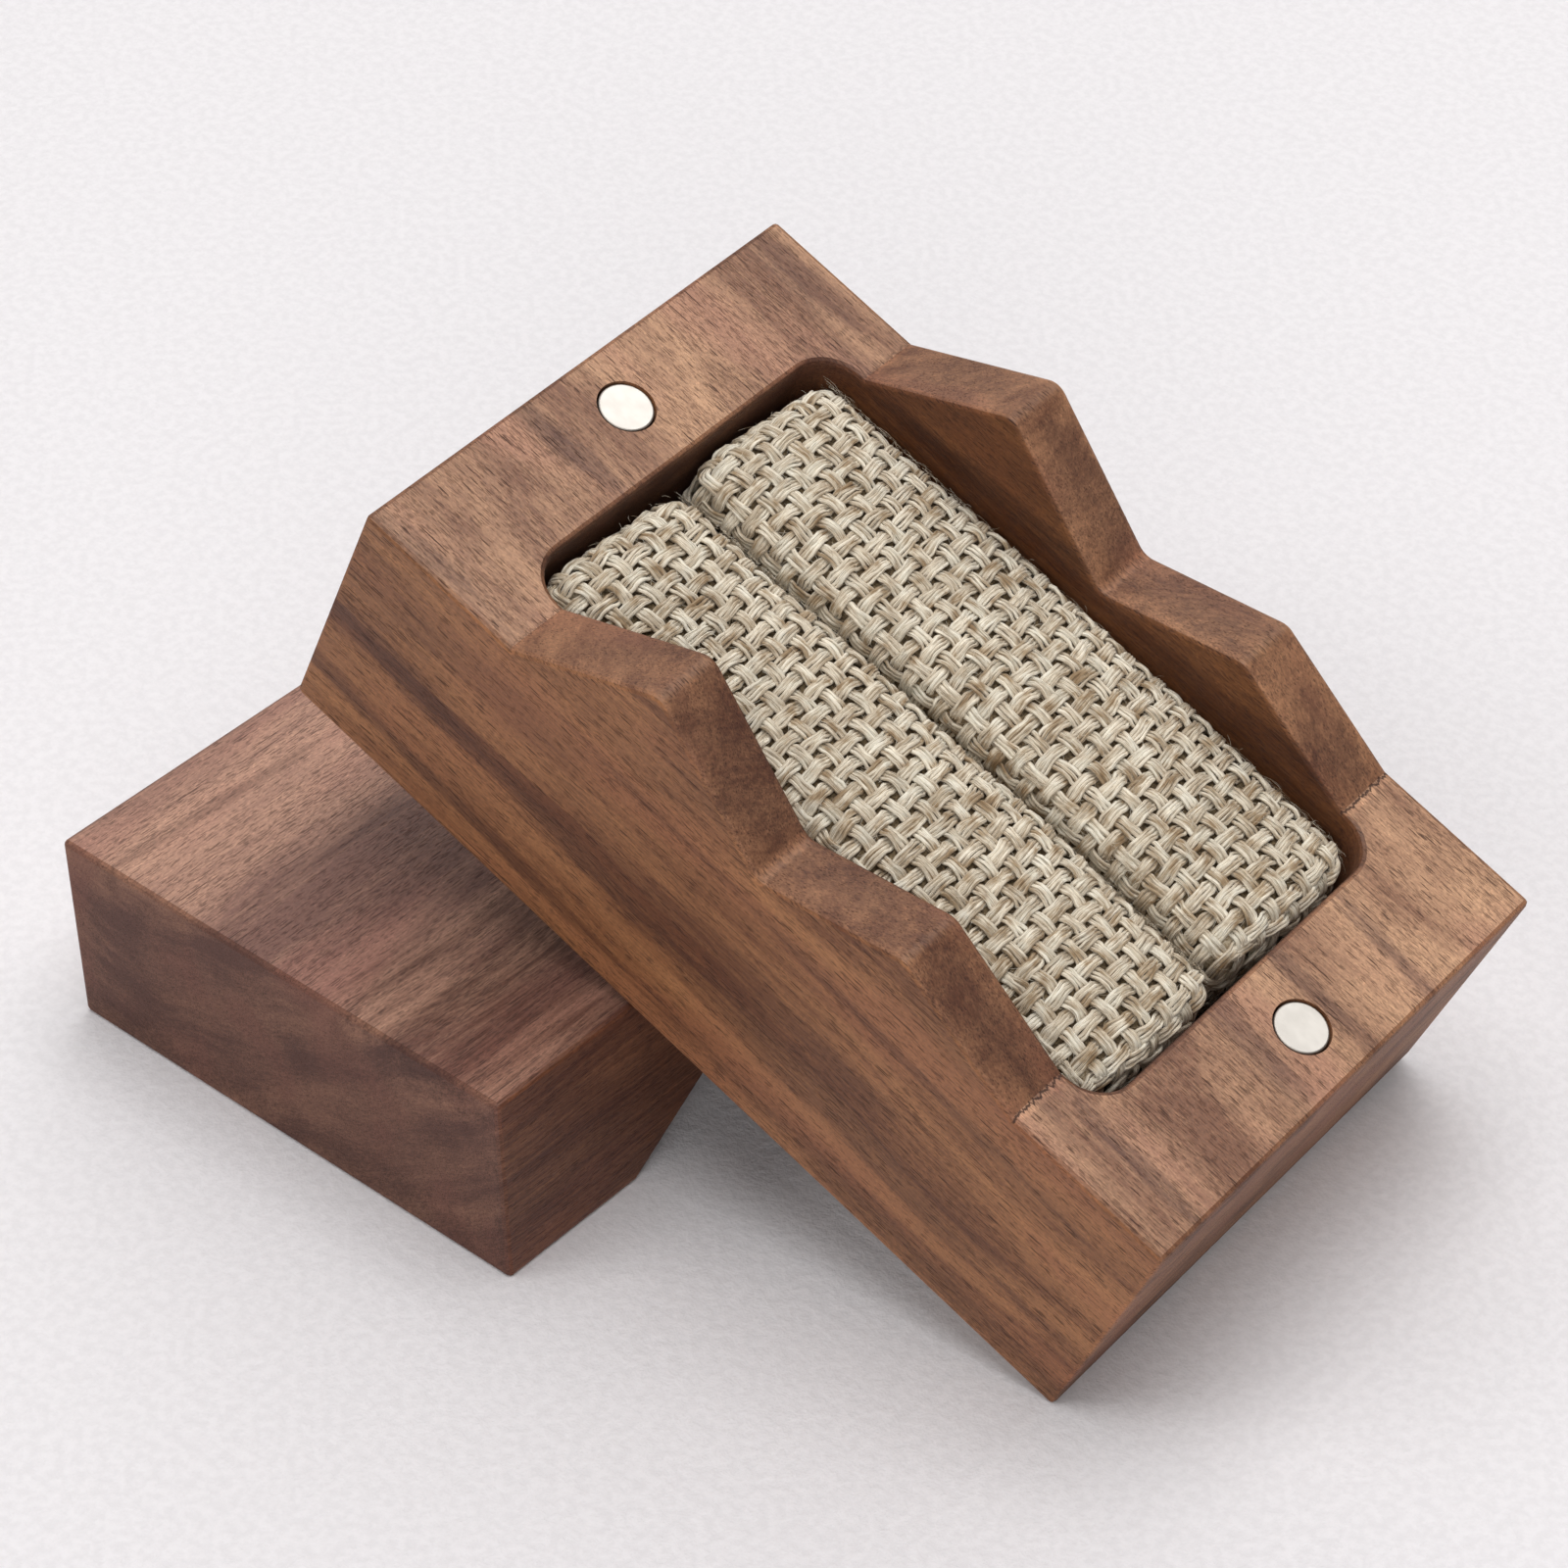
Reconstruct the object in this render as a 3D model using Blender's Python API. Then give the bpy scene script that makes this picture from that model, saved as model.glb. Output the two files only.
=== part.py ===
"""Walnut ring box in two halves whose long walls meet along a mountain line.

The box lies open, as in its photograph. The lid half is face down on the floor. The base half,
with its two padded rolls for rings, leans on the lid's upper edge and stands on one lower corner.
Units are metres, +Z is up, and the lid's length runs along Y.
"""

import math

import bmesh
import bpy
from mathutils import Matrix, Vector

MM = 0.001

# Outside of the two halves
BOX_LENGTH = 90.0 * MM
BOX_WIDTH = 54.0 * MM
BASE_HEIGHT = 26.5 * MM
LID_HEIGHT = 20.3 * MM
EDGE_ROUNDING = 0.45 * MM

# Mountain line of the long walls, measured from the ends and from the landings
LANDING_LENGTH = 16.7 * MM
HIGH_PEAK_FROM_END = 30.4 * MM
HIGH_PEAK_RISE = 9.4 * MM
LOW_PEAK_FROM_END = 31.0 * MM
LOW_PEAK_RISE = 5.8 * MM
VALLEY_FROM_END = 45.0 * MM
PEAK_ROUNDING = 1.8 * MM
VALLEY_ROUNDING = 1.8 * MM
MATING_CLEARANCE = 0.3 * MM

# Pocket of each half
SIDE_WALL = 6.9 * MM
END_WALL = 12.3 * MM
POCKET_CORNER = 4.0 * MM
BASE_FLOOR = 6.0 * MM
LID_ROOF = 4.5 * MM
CUT_OVERRUN = 2.0 * MM

# Disc magnets, one in each landing
MAGNET_DIAMETER = 5.0 * MM
MAGNET_THICKNESS = 3.0 * MM
MAGNET_FROM_END = 5.8 * MM
MAGNET_SIDE_GAP = 0.2 * MM
MAGNET_SINK = 0.1 * MM
MAGNET_EDGE_ROUNDING = 0.15 * MM

# Ring cushion
SEAT_GAP = 0.3 * MM
CUSHION_SIDE_GAP = 0.4 * MM
ROLL_GAP = 0.4 * MM
BOARD_THICKNESS = 1.5 * MM
CLOTH_THICKNESS = 1.0 * MM
CROWN_BELOW_LANDING = 0.5 * MM
CROWN_RISE = 5.2 * MM
ROLL_CORNER = 4.2 * MM
LEAST_CORNER = 0.25 * MM
ROLL_DRAW_IN = 0.9 * MM
CROWN_FULLNESS = 2.6

# How the halves lie
LEAN = math.radians(24.7)
TURN = math.radians(2.7)
LEAN_GAP = 0.3 * MM
LID_END_BEFORE_CORNER = 18.7 * MM

# Counts of segments
ARC_SEGMENTS = 8
POCKET_CORNER_SEGMENTS = 8
ROLL_CORNER_SEGMENTS = 6
DRAW_IN_RINGS = 3
CROWN_RINGS = 7
MAGNET_SEGMENTS = 40
ROUNDING_SEGMENTS = 2

# Linear colour, roughness and metallic value of each material
FINISHES = {
    "base_walnut": ((0.195, 0.098, 0.052), 0.55, 0.0),
    "lid_walnut": ((0.160, 0.074, 0.042), 0.55, 0.0),
    "nickel": ((0.80, 0.78, 0.74), 0.28, 1.0),
    "linen": ((0.52, 0.45, 0.33), 0.9, 0.0),
    "foam": ((0.62, 0.58, 0.48), 0.95, 0.0),
    "board": ((0.30, 0.24, 0.17), 0.9, 0.0),
}


def clear_scene():
    for thing in list(bpy.data.objects):
        bpy.data.objects.remove(thing, do_unlink=True)


def make_materials():
    made = {}
    for name, (colour, roughness, metallic) in FINISHES.items():
        finish = bpy.data.materials.new(name)
        finish.use_nodes = True
        shader = finish.node_tree.nodes["Principled BSDF"]
        shader.inputs["Base Color"].default_value = (*colour, 1.0)
        shader.inputs["Roughness"].default_value = roughness
        shader.inputs["Metallic"].default_value = metallic
        made[name] = finish
    return made


def add_empty(name, parent=None, location=(0, 0, 0), turned=(0, 0, 0)):
    empty = bpy.data.objects.new(name, None)
    bpy.context.collection.objects.link(empty)
    empty.parent = parent
    empty.location = location
    empty.rotation_euler = turned
    return empty


def add_mesh(name, bm, finish, parent, smooth_below=math.radians(40)):
    """Turns the bmesh into an object whose faces point outwards."""
    bmesh.ops.recalc_face_normals(bm, faces=bm.faces)
    mesh = bpy.data.meshes.new(name)
    bm.to_mesh(mesh)
    bm.free()
    mesh.shade_smooth()
    mesh.set_sharp_from_angle(angle=smooth_below)
    thing = bpy.data.objects.new(name, mesh)
    bpy.context.collection.objects.link(thing)
    thing.parent = parent
    if finish:
        mesh.materials.append(finish)
    return thing


def make_cutter(thing):
    thing.hide_render = True
    thing.display_type = "WIRE"
    return thing


def cut(thing, cutter):
    cutting = thing.modifiers.new("cut_" + cutter.name, "BOOLEAN")
    cutting.operation = "DIFFERENCE"
    cutting.object = cutter


def round_edges(thing, width):
    rounding = thing.modifiers.new("rounding", "BEVEL")
    rounding.width = width
    rounding.segments = ROUNDING_SEGMENTS
    rounding.limit_method = "ANGLE"
    rounding.angle_limit = math.radians(50)


def extruded(outline, depth):
    """A bmesh of the closed outline, swept through the depth vector."""
    bm = bmesh.new()
    face = bm.faces.new([bm.verts.new(point) for point in outline])
    swept = bmesh.ops.extrude_face_region(bm, geom=[face])
    moved = [item for item in swept["geom"] if isinstance(item, bmesh.types.BMVert)]
    bmesh.ops.translate(bm, verts=moved, vec=depth)
    return bm


def rounded_corner(before, corner, after, radius):
    """Points of the arc that rounds the corner between two straight lines."""
    to_before = (before - corner).normalized()
    to_after = (after - corner).normalized()
    half_angle = to_before.angle(to_after) / 2
    centre = corner + (to_before + to_after).normalized() * (radius / math.sin(half_angle))
    start = corner + to_before * (radius / math.tan(half_angle)) - centre
    sweep = start.angle_signed(corner + to_after * (radius / math.tan(half_angle)) - centre)
    points = []
    for step in range(ARC_SEGMENTS + 1):
        turned = start.copy()
        turned.rotate(Matrix.Rotation(-sweep * step / ARC_SEGMENTS, 2))
        points.append(centre + turned)
    return points


def rounded_rectangle(half_length, half_width, corner, segments):
    """A closed loop of points round the origin in the XY plane."""
    points = []
    for quarter, (side_x, side_y) in enumerate(((1, 1), (-1, 1), (-1, -1), (1, -1))):
        for step in range(segments + 1):
            angle = (quarter + step / segments) * math.pi / 2
            x = side_x * (half_length - corner) + corner * math.cos(angle)
            y = side_y * (half_width - corner) + corner * math.sin(angle)
            points.append(Vector((x, y, 0)))
    return points


def mountain_corners():
    """Corners of the mountain line as (place along the box, rise above the landing)."""
    return [
        Vector((LANDING_LENGTH, 0)),
        Vector((HIGH_PEAK_FROM_END, HIGH_PEAK_RISE)),
        Vector((VALLEY_FROM_END, 0)),
        Vector((BOX_LENGTH - LOW_PEAK_FROM_END, LOW_PEAK_RISE)),
        Vector((BOX_LENGTH - LANDING_LENGTH, 0)),
    ]


def crossing(start, along, other_start, other_along):
    """Where two lines of the plane meet."""
    offset = other_start - start
    turn = along.x * other_along.y - along.y * other_along.x
    return start + along * ((offset.x * other_along.y - offset.y * other_along.x) / turn)


def raised_corners(corners, clearance):
    """The mountain line moved out by the clearance, still ending on the landings."""
    lines = [(Vector((0, 0)), Vector((1, 0)))]
    for start, end in zip(corners, corners[1:]):
        along = (end - start).normalized()
        lines.append((start + Vector((-along.y, along.x)) * clearance, along))
    lines.append((Vector((BOX_LENGTH, 0)), Vector((1, 0))))
    return [crossing(*line, *following) for line, following in zip(lines, lines[1:])]


def mountain_line(corners, peak_radius, valley_radius):
    """The line with its peaks and valley rounded and its two creases sharp."""
    first_crease, high_peak, valley, low_peak, last_crease = corners
    return [
        first_crease,
        *rounded_corner(first_crease, high_peak, valley, peak_radius),
        *rounded_corner(high_peak, valley, low_peak, valley_radius),
        *rounded_corner(valley, low_peak, last_crease, peak_radius),
        last_crease,
    ]


def make_half(name, height, line, pocket_depth, finish, parent):
    """One walnut half, its mating side up, with its pocket and its two magnet holes."""
    side = [Vector((0, 0)), Vector((BOX_LENGTH, 0)), Vector((BOX_LENGTH, height))]
    side += [Vector((point.x, height + point.y)) for point in reversed(line)]
    side.append(Vector((0, height)))
    outline = [(point.x, 0, point.y) for point in side]
    block = add_mesh(name, extruded(outline, (0, BOX_WIDTH, 0)), finish, parent)

    half_length = BOX_LENGTH / 2 - END_WALL
    half_width = BOX_WIDTH / 2 - SIDE_WALL
    plan = rounded_rectangle(half_length, half_width, POCKET_CORNER, POCKET_CORNER_SEGMENTS)
    pocket = extruded(plan, (0, 0, pocket_depth + HIGH_PEAK_RISE + CUT_OVERRUN))
    pocket_cutter = make_cutter(add_mesh(name + "_pocket", pocket, None, parent))
    pocket_cutter.location = (BOX_LENGTH / 2, BOX_WIDTH / 2, height - pocket_depth)
    cut(block, pocket_cutter)
    round_edges(block, EDGE_ROUNDING)

    hole_depth = MAGNET_SINK + MAGNET_THICKNESS + SEAT_GAP
    for side_name, place in magnet_places().items():
        hole = bmesh.new()
        bmesh.ops.create_cone(
            hole,
            cap_ends=True,
            segments=MAGNET_SEGMENTS,
            radius1=MAGNET_DIAMETER / 2 + MAGNET_SIDE_GAP,
            radius2=MAGNET_DIAMETER / 2 + MAGNET_SIDE_GAP,
            depth=2 * hole_depth,
        )
        cutter = make_cutter(add_mesh(name + "_hole_" + side_name, hole, None, parent))
        cutter.location = (place, BOX_WIDTH / 2, height)
        cut(block, cutter)
    return block


def magnet_places():
    return {"high_end": MAGNET_FROM_END, "low_end": BOX_LENGTH - MAGNET_FROM_END}


def make_magnets(half_name, height, finish, parent):
    for side_name, place in magnet_places().items():
        disc = bmesh.new()
        bmesh.ops.create_cone(
            disc,
            cap_ends=True,
            segments=MAGNET_SEGMENTS,
            radius1=MAGNET_DIAMETER / 2,
            radius2=MAGNET_DIAMETER / 2,
            depth=MAGNET_THICKNESS,
        )
        magnet = add_mesh(half_name + "_magnet_" + side_name, disc, finish, parent)
        magnet.location = (place, BOX_WIDTH / 2, height - MAGNET_SINK - MAGNET_THICKNESS / 2)
        round_edges(magnet, MAGNET_EDGE_ROUNDING)


def roll_rings(half_length, half_width, height):
    """Loops up a padded roll: sides drawn in at the foot, then a full crown."""
    shoulder = height - CROWN_RISE
    steps = []
    for ring in range(DRAW_IN_RINGS):
        share = ring / DRAW_IN_RINGS
        inset = ROLL_DRAW_IN * (1 - math.sin(share * math.pi / 2))
        steps.append((inset, shoulder * share))
    for ring in range(CROWN_RINGS + 1):
        angle = ring / (CROWN_RINGS + 1) * math.pi / 2
        inset = half_width * (1 - math.cos(angle) ** (2 / CROWN_FULLNESS))
        steps.append((inset, shoulder + CROWN_RISE * math.sin(angle) ** (2 / CROWN_FULLNESS)))
    loops = []
    for inset, level in steps:
        corner = max(ROLL_CORNER - inset, LEAST_CORNER)
        loop = rounded_rectangle(
            half_length - inset, half_width - inset, corner, ROLL_CORNER_SEGMENTS
        )
        loops.append([point + Vector((0, 0, level)) for point in loop])
    return loops


def lofted(bm, loops):
    """Bridges each loop to the next and closes the last one. Returns the rings of vertices."""
    rings = [[bm.verts.new(point) for point in loop] for loop in loops]
    for lower, upper in zip(rings, rings[1:]):
        bridge(bm, lower, upper)
    bm.faces.new(rings[-1])
    return rings


def bridge(bm, lower, upper):
    count = len(lower)
    for place in range(count):
        following = (place + 1) % count
        bm.faces.new((lower[place], lower[following], upper[following], upper[place]))


def make_roll(side_name, middle, finishes, parent):
    """A foam core under its cloth cover, both standing on the board."""
    half_length = BOX_LENGTH / 2 - END_WALL - CUSHION_SIDE_GAP
    half_width = (BOX_WIDTH / 2 - SIDE_WALL - CUSHION_SIDE_GAP - ROLL_GAP / 2) / 2
    foot = BASE_FLOOR + SEAT_GAP + BOARD_THICKNESS + SEAT_GAP
    height = BASE_HEIGHT - CROWN_BELOW_LANDING - foot

    cover = bmesh.new()
    outer = lofted(cover, roll_rings(half_length, half_width, height))
    inner = lofted(
        cover,
        roll_rings(
            half_length - CLOTH_THICKNESS, half_width - CLOTH_THICKNESS, height - CLOTH_THICKNESS
        ),
    )
    bridge(cover, outer[0], inner[0])
    cloth = add_mesh("cushion_cover_" + side_name, cover, finishes["linen"], parent)
    cloth.location = (BOX_LENGTH / 2, middle, foot)

    less = CLOTH_THICKNESS + SEAT_GAP
    core = bmesh.new()
    rings = lofted(core, roll_rings(half_length - less, half_width - less, height - less))
    core.faces.new(rings[0])
    foam = add_mesh("foam_core_" + side_name, core, finishes["foam"], parent)
    foam.location = (BOX_LENGTH / 2, middle, foot)


def make_cushion(finishes, parent):
    half_length = BOX_LENGTH / 2 - END_WALL - CUSHION_SIDE_GAP
    half_width = BOX_WIDTH / 2 - SIDE_WALL - CUSHION_SIDE_GAP
    corner = POCKET_CORNER - CUSHION_SIDE_GAP
    plan = rounded_rectangle(half_length, half_width, corner, POCKET_CORNER_SEGMENTS)
    board = add_mesh(
        "cushion_board", extruded(plan, (0, 0, BOARD_THICKNESS)), finishes["board"], parent
    )
    board.location = (BOX_LENGTH / 2, BOX_WIDTH / 2, BASE_FLOOR + SEAT_GAP)

    roll_offset = (half_width + ROLL_GAP / 2) / 2
    make_roll("front", BOX_WIDTH / 2 - roll_offset, finishes, parent)
    make_roll("back", BOX_WIDTH / 2 + roll_offset, finishes, parent)


def extent(things):
    """The lowest and highest corner of the finished shapes in the world."""
    bpy.context.view_layer.update()
    graph = bpy.context.evaluated_depsgraph_get()
    low = Vector((math.inf, math.inf, math.inf))
    high = -low
    for thing in things:
        shaped = thing.evaluated_get(graph)
        for vertex in shaped.data.vertices:
            place = shaped.matrix_world @ vertex.co
            low = Vector(map(min, low, place))
            high = Vector(map(max, high, place))
    return low, high


def shown_meshes(under=None):
    meshes = [thing for thing in bpy.data.objects if thing.type == "MESH" and not thing.hide_render]
    if under:
        meshes = [thing for thing in meshes if thing in under.children_recursive]
    return meshes


def main():
    clear_scene()
    finishes = make_materials()

    # The base half turns in its own plane about its low corner, then leans about the floor line.
    lean = add_empty("base_lean", turned=(0, LEAN, 0))
    turned = add_empty("base_turn", lean, turned=(0, 0, TURN))
    base_half = add_empty("base_half", turned, location=(-BOX_LENGTH, 0, 0))
    cushion = add_empty("cushion_insert", base_half)

    # The lid half lies face down, its upper edge just under the leaning base.
    lid_edge = -(LID_HEIGHT + LEAN_GAP / math.cos(LEAN)) / math.tan(LEAN)
    lid_half = add_empty(
        "lid_half",
        location=(lid_edge - BOX_WIDTH, -LID_END_BEFORE_CORNER, LID_HEIGHT),
        turned=(math.pi, 0, math.pi / 2),
    )

    corners = mountain_corners()
    hills = mountain_line(corners, PEAK_ROUNDING, VALLEY_ROUNDING)
    make_half(
        "base_block",
        BASE_HEIGHT,
        hills,
        BASE_HEIGHT - BASE_FLOOR,
        finishes["base_walnut"],
        base_half,
    )
    make_magnets("base", BASE_HEIGHT, finishes["nickel"], base_half)
    make_cushion(finishes, cushion)

    hollows = mountain_line(
        raised_corners(corners, MATING_CLEARANCE),
        PEAK_ROUNDING + MATING_CLEARANCE,
        VALLEY_ROUNDING - MATING_CLEARANCE,
    )
    make_half(
        "lid_block",
        LID_HEIGHT,
        [Vector((point.x, -point.y)) for point in hollows],
        LID_HEIGHT - LID_ROOF,
        finishes["lid_walnut"],
        lid_half,
    )
    make_magnets("lid", LID_HEIGHT, finishes["nickel"], lid_half)

    # Rounded edges leave the low corner just off the floor, so the base half settles onto it.
    lean.location.z -= extent(shown_meshes(lean))[0].z
    low, high = extent(shown_meshes())
    middle = (low + high) / 2
    for top in (lean, lid_half):
        top.location.x -= middle.x
        top.location.y -= middle.y


main()
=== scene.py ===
import math

import bpy
import numpy as np
from mathutils import Matrix, Vector


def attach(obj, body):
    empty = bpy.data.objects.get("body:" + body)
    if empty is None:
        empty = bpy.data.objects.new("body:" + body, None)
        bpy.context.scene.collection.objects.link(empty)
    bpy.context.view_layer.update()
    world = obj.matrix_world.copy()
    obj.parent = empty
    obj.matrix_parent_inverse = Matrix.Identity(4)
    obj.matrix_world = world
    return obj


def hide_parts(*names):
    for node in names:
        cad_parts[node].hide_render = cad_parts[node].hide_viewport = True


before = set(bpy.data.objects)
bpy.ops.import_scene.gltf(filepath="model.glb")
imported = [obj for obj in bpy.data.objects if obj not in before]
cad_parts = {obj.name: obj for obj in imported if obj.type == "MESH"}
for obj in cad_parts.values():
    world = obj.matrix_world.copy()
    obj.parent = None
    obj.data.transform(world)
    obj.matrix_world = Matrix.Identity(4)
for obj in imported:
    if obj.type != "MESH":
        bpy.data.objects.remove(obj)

bpy.context.view_layer.update()
MM = 0.001

# The base half's place: it leans on the lid half and is turned a little.
LEAN = math.radians(24.7)
TURN = math.radians(2.7)
LEANING_CORNER = Vector((43.987, -26.3, -0.184)) * MM
BOX_LENGTH = 90.0
LID_CORNER = Vector((-0.866, -45.0, 0.0)) * MM
MAGNET_FROM_MIDDLE, MAGNET_ACROSS, MAGNET_RADIUS = 39.2, 27.0, 2.5

# The two cushion rolls, in millimetres of the base half.
ROLL_MIDDLE_ALONG = 45.0
ROLL_MIDDLES_ACROSS = {"front": 17.05, "back": 37.15}
ROLL_FOOT = 8.1
ROLL_HALF_LENGTH, ROLL_HALF_WIDTH = 32.3, 9.75
ROLL_HEIGHT, CROWN_RISE, CROWN_FULLNESS = 18.4, 5.2, 3.3
ROLL_END_ROUNDING = 5.2
ROLL_DRAW_IN = 0.9
PLAN_SQUARENESS, RING_SQUARENESS = 6.0, 9.0

# The weave, in millimetres. Across yarns cross the roll, along yarns run its length, ring yarns go round its sides.
CLOTH_DEPTH = 0.66
ACROSS_PITCH, ALONG_PITCH, RING_PITCH = 1.74, 2.1, 1.95
CLOTH_SKEW = 0.07
LAST_ACROSS_SHARE, LAST_ALONG_SHARE = 0.72, 0.70
CORNER_SAG_REACH = 6.0
YARN_STEP, HIDDEN_YARN_STEP, HIDDEN_BELOW = 0.38, 0.8, 5.0
BACKING_DEPTH = 1.15
CORNER_ALONG, CORNER_ACROSS = 28.4, 6.2

# The camera stands where the photograph's did.
CAMERA_AZIMUTH, CAMERA_ELEVATION, CAMERA_ROLL = math.radians(-47.655), math.radians(39.364), math.radians(-1.49)
CAMERA_DISTANCE = 456.694 * MM
CAMERA_TARGET = Vector((-15.016, 7.241, 15.0)) * MM
LENS, SENSOR = 114.14, 36.0


# Places


def base_frame():
    """Base half coordinates in metres (along from the high end, across from the near side, up) to the row frame."""
    return (Matrix.Translation(LEANING_CORNER) @ Matrix.Rotation(LEAN, 4, "Y") @ Matrix.Rotation(TURN, 4, "Z")
            @ Matrix.Translation((-BOX_LENGTH * MM, 0, 0)))


def lid_frame():
    """Lid half coordinates in metres (along from the visible end, across from the base half's side, up)."""
    turned = Matrix(((0, -1, 0), (1, 0, 0), (0, 0, 1))).to_4x4()
    return Matrix.Translation(LID_CORNER) @ turned


# Shader tools


# Where a Mix node keeps its two colours and their result.
MIX_FIRST, MIX_SECOND, MIX_RESULT = 6, 7, 2


class Recipe:
    """Adds nodes to one shader tree and joins them."""

    def __init__(self, tree):
        self.tree = tree

    def add(self, kind, feeds=None, **settings):
        node = self.tree.nodes.new(kind)
        for name, value in settings.items():
            setattr(node, name, value)
        for name, value in (feeds or {}).items():
            self.feed(node.inputs[name], value)
        return node

    def feed(self, socket, value):
        if isinstance(value, bpy.types.NodeSocket):
            self.tree.links.new(value, socket)
        else:
            socket.default_value = value

    def sum(self, operation, *values, clamp=False):
        node = self.add("ShaderNodeMath", operation=operation, use_clamp=clamp)
        for place, value in enumerate(values):
            self.feed(node.inputs[place], value)
        return node.outputs[0]

    def vector(self, operation, *values):
        node = self.add("ShaderNodeVectorMath", operation=operation)
        for place, value in enumerate(values):
            self.feed(node.inputs[place], value)
        return node.outputs["Value" if operation in ("DOT_PRODUCT", "LENGTH") else "Vector"]

    def noise(self, place, scale=1.0, detail=2.0, roughness=0.5, stretch=None):
        if stretch is not None:
            place = self.vector("MULTIPLY", place, stretch)
        return self.add("ShaderNodeTexNoise", {"Vector": place, "Scale": scale, "Detail": detail,
                                               "Roughness": roughness}).outputs["Fac"]

    def between(self, value, low, high, out_low=0.0, out_high=1.0, smooth=True):
        kind = "SMOOTHSTEP" if smooth else "LINEAR"
        return self.add("ShaderNodeMapRange", {"Value": value, "From Min": low, "From Max": high, "To Min": out_low,
                                               "To Max": out_high}, interpolation_type=kind).outputs["Result"]

    def blend(self, share, first, second, way="MIX"):
        node = self.add("ShaderNodeMix", data_type="RGBA", blend_type=way)
        self.feed(node.inputs["Factor"], share)
        self.feed(node.inputs[MIX_FIRST], first)
        self.feed(node.inputs[MIX_SECOND], second)
        return node.outputs[MIX_RESULT]


def colour(red, green, blue):
    """A paint colour given as it looks, 0 to 255, as the shader's linear colour."""
    def linear(value):
        value /= 255
        return value / 12.92 if value <= 0.04045 else ((value + 0.055) / 1.055) ** 2.4
    return (linear(red), linear(green), linear(blue), 1.0)


def new_group(name, takes, gives):
    """A named shader group with those inputs, (kind, name, value), and outputs, (kind, name)."""
    group = bpy.data.node_groups.new(name, "ShaderNodeTree")
    for kind, label, value in takes:
        socket = group.interface.new_socket(label, in_out="INPUT", socket_type="NodeSocket" + kind)
        if value is not None:
            socket.default_value = value
    for kind, label in gives:
        group.interface.new_socket(label, in_out="OUTPUT", socket_type="NodeSocket" + kind)
    recipe = Recipe(group)
    return recipe, recipe.add("NodeGroupInput").outputs, recipe.add("NodeGroupOutput")


def new_material(name):
    material = bpy.data.materials.new(name)
    material.use_nodes = True
    material.node_tree.nodes.clear()
    recipe = Recipe(material.node_tree)
    shader = recipe.add("ShaderNodeBsdfPrincipled")
    recipe.add("ShaderNodeOutputMaterial", {"Surface": shader.outputs["BSDF"]})
    return material, recipe, shader


def place_in(recipe, matrix):
    """Each point's place in a half's own coordinates, in millimetres."""
    half = matrix.copy()
    node = recipe.add("ShaderNodeMapping", {"Vector": recipe.add("ShaderNodeTexCoord").outputs["Object"],
                                            "Location": half.translation, "Rotation": half.to_euler(),
                                            "Scale": (MM, MM, MM)}, vector_type="TEXTURE")
    return node.outputs["Vector"]


# Walnut


def make_streak_group():
    """One dark streak in the wood: a soft body about a middle line that may slope, frayed along the grain."""
    recipe, take, give = new_group("walnut_streak", [
        ("Vector", "Place", None), ("Vector", "Middle", (0, 0, 0)), ("Vector", "Half Size", (30, 3, 3)),
        ("Float", "Slope Up", 0.0), ("Float", "Slope Across", 0.0), ("Float", "Fray", 0.5),
        ("Float", "Strength", 1.0)], [("Float", "Mask")])
    off = recipe.vector("SUBTRACT", take["Place"], take["Middle"])
    parts = recipe.add("ShaderNodeSeparateXYZ", {"Vector": off}).outputs
    across = recipe.sum("SUBTRACT", parts["Y"], recipe.sum("MULTIPLY", parts["X"], take["Slope Across"]))
    up = recipe.sum("SUBTRACT", parts["Z"], recipe.sum("MULTIPLY", parts["X"], take["Slope Up"]))
    bent = recipe.add("ShaderNodeCombineXYZ", {"X": parts["X"], "Y": across, "Z": up}).outputs["Vector"]
    reach = recipe.vector("LENGTH", recipe.vector("DIVIDE", bent, take["Half Size"]))
    waver = recipe.noise(take["Place"], detail=3.0, roughness=0.6, stretch=(0.06, 0.4, 0.4))
    fibres = recipe.noise(take["Place"], detail=3.0, roughness=0.6, stretch=(0.14, 2.6, 2.6))
    fray = recipe.sum("ADD", recipe.between(waver, 0.3, 0.7, -0.8, 0.8, False),
                      recipe.between(fibres, 0.3, 0.7, -0.5, 0.5, False))
    reach = recipe.sum("ADD", reach, recipe.sum("MULTIPLY", fray, take["Fray"]))
    recipe.feed(give.inputs["Mask"], recipe.sum("MULTIPLY", recipe.between(reach, 1.35, 0.3), take["Strength"]))
    return recipe.tree


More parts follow.
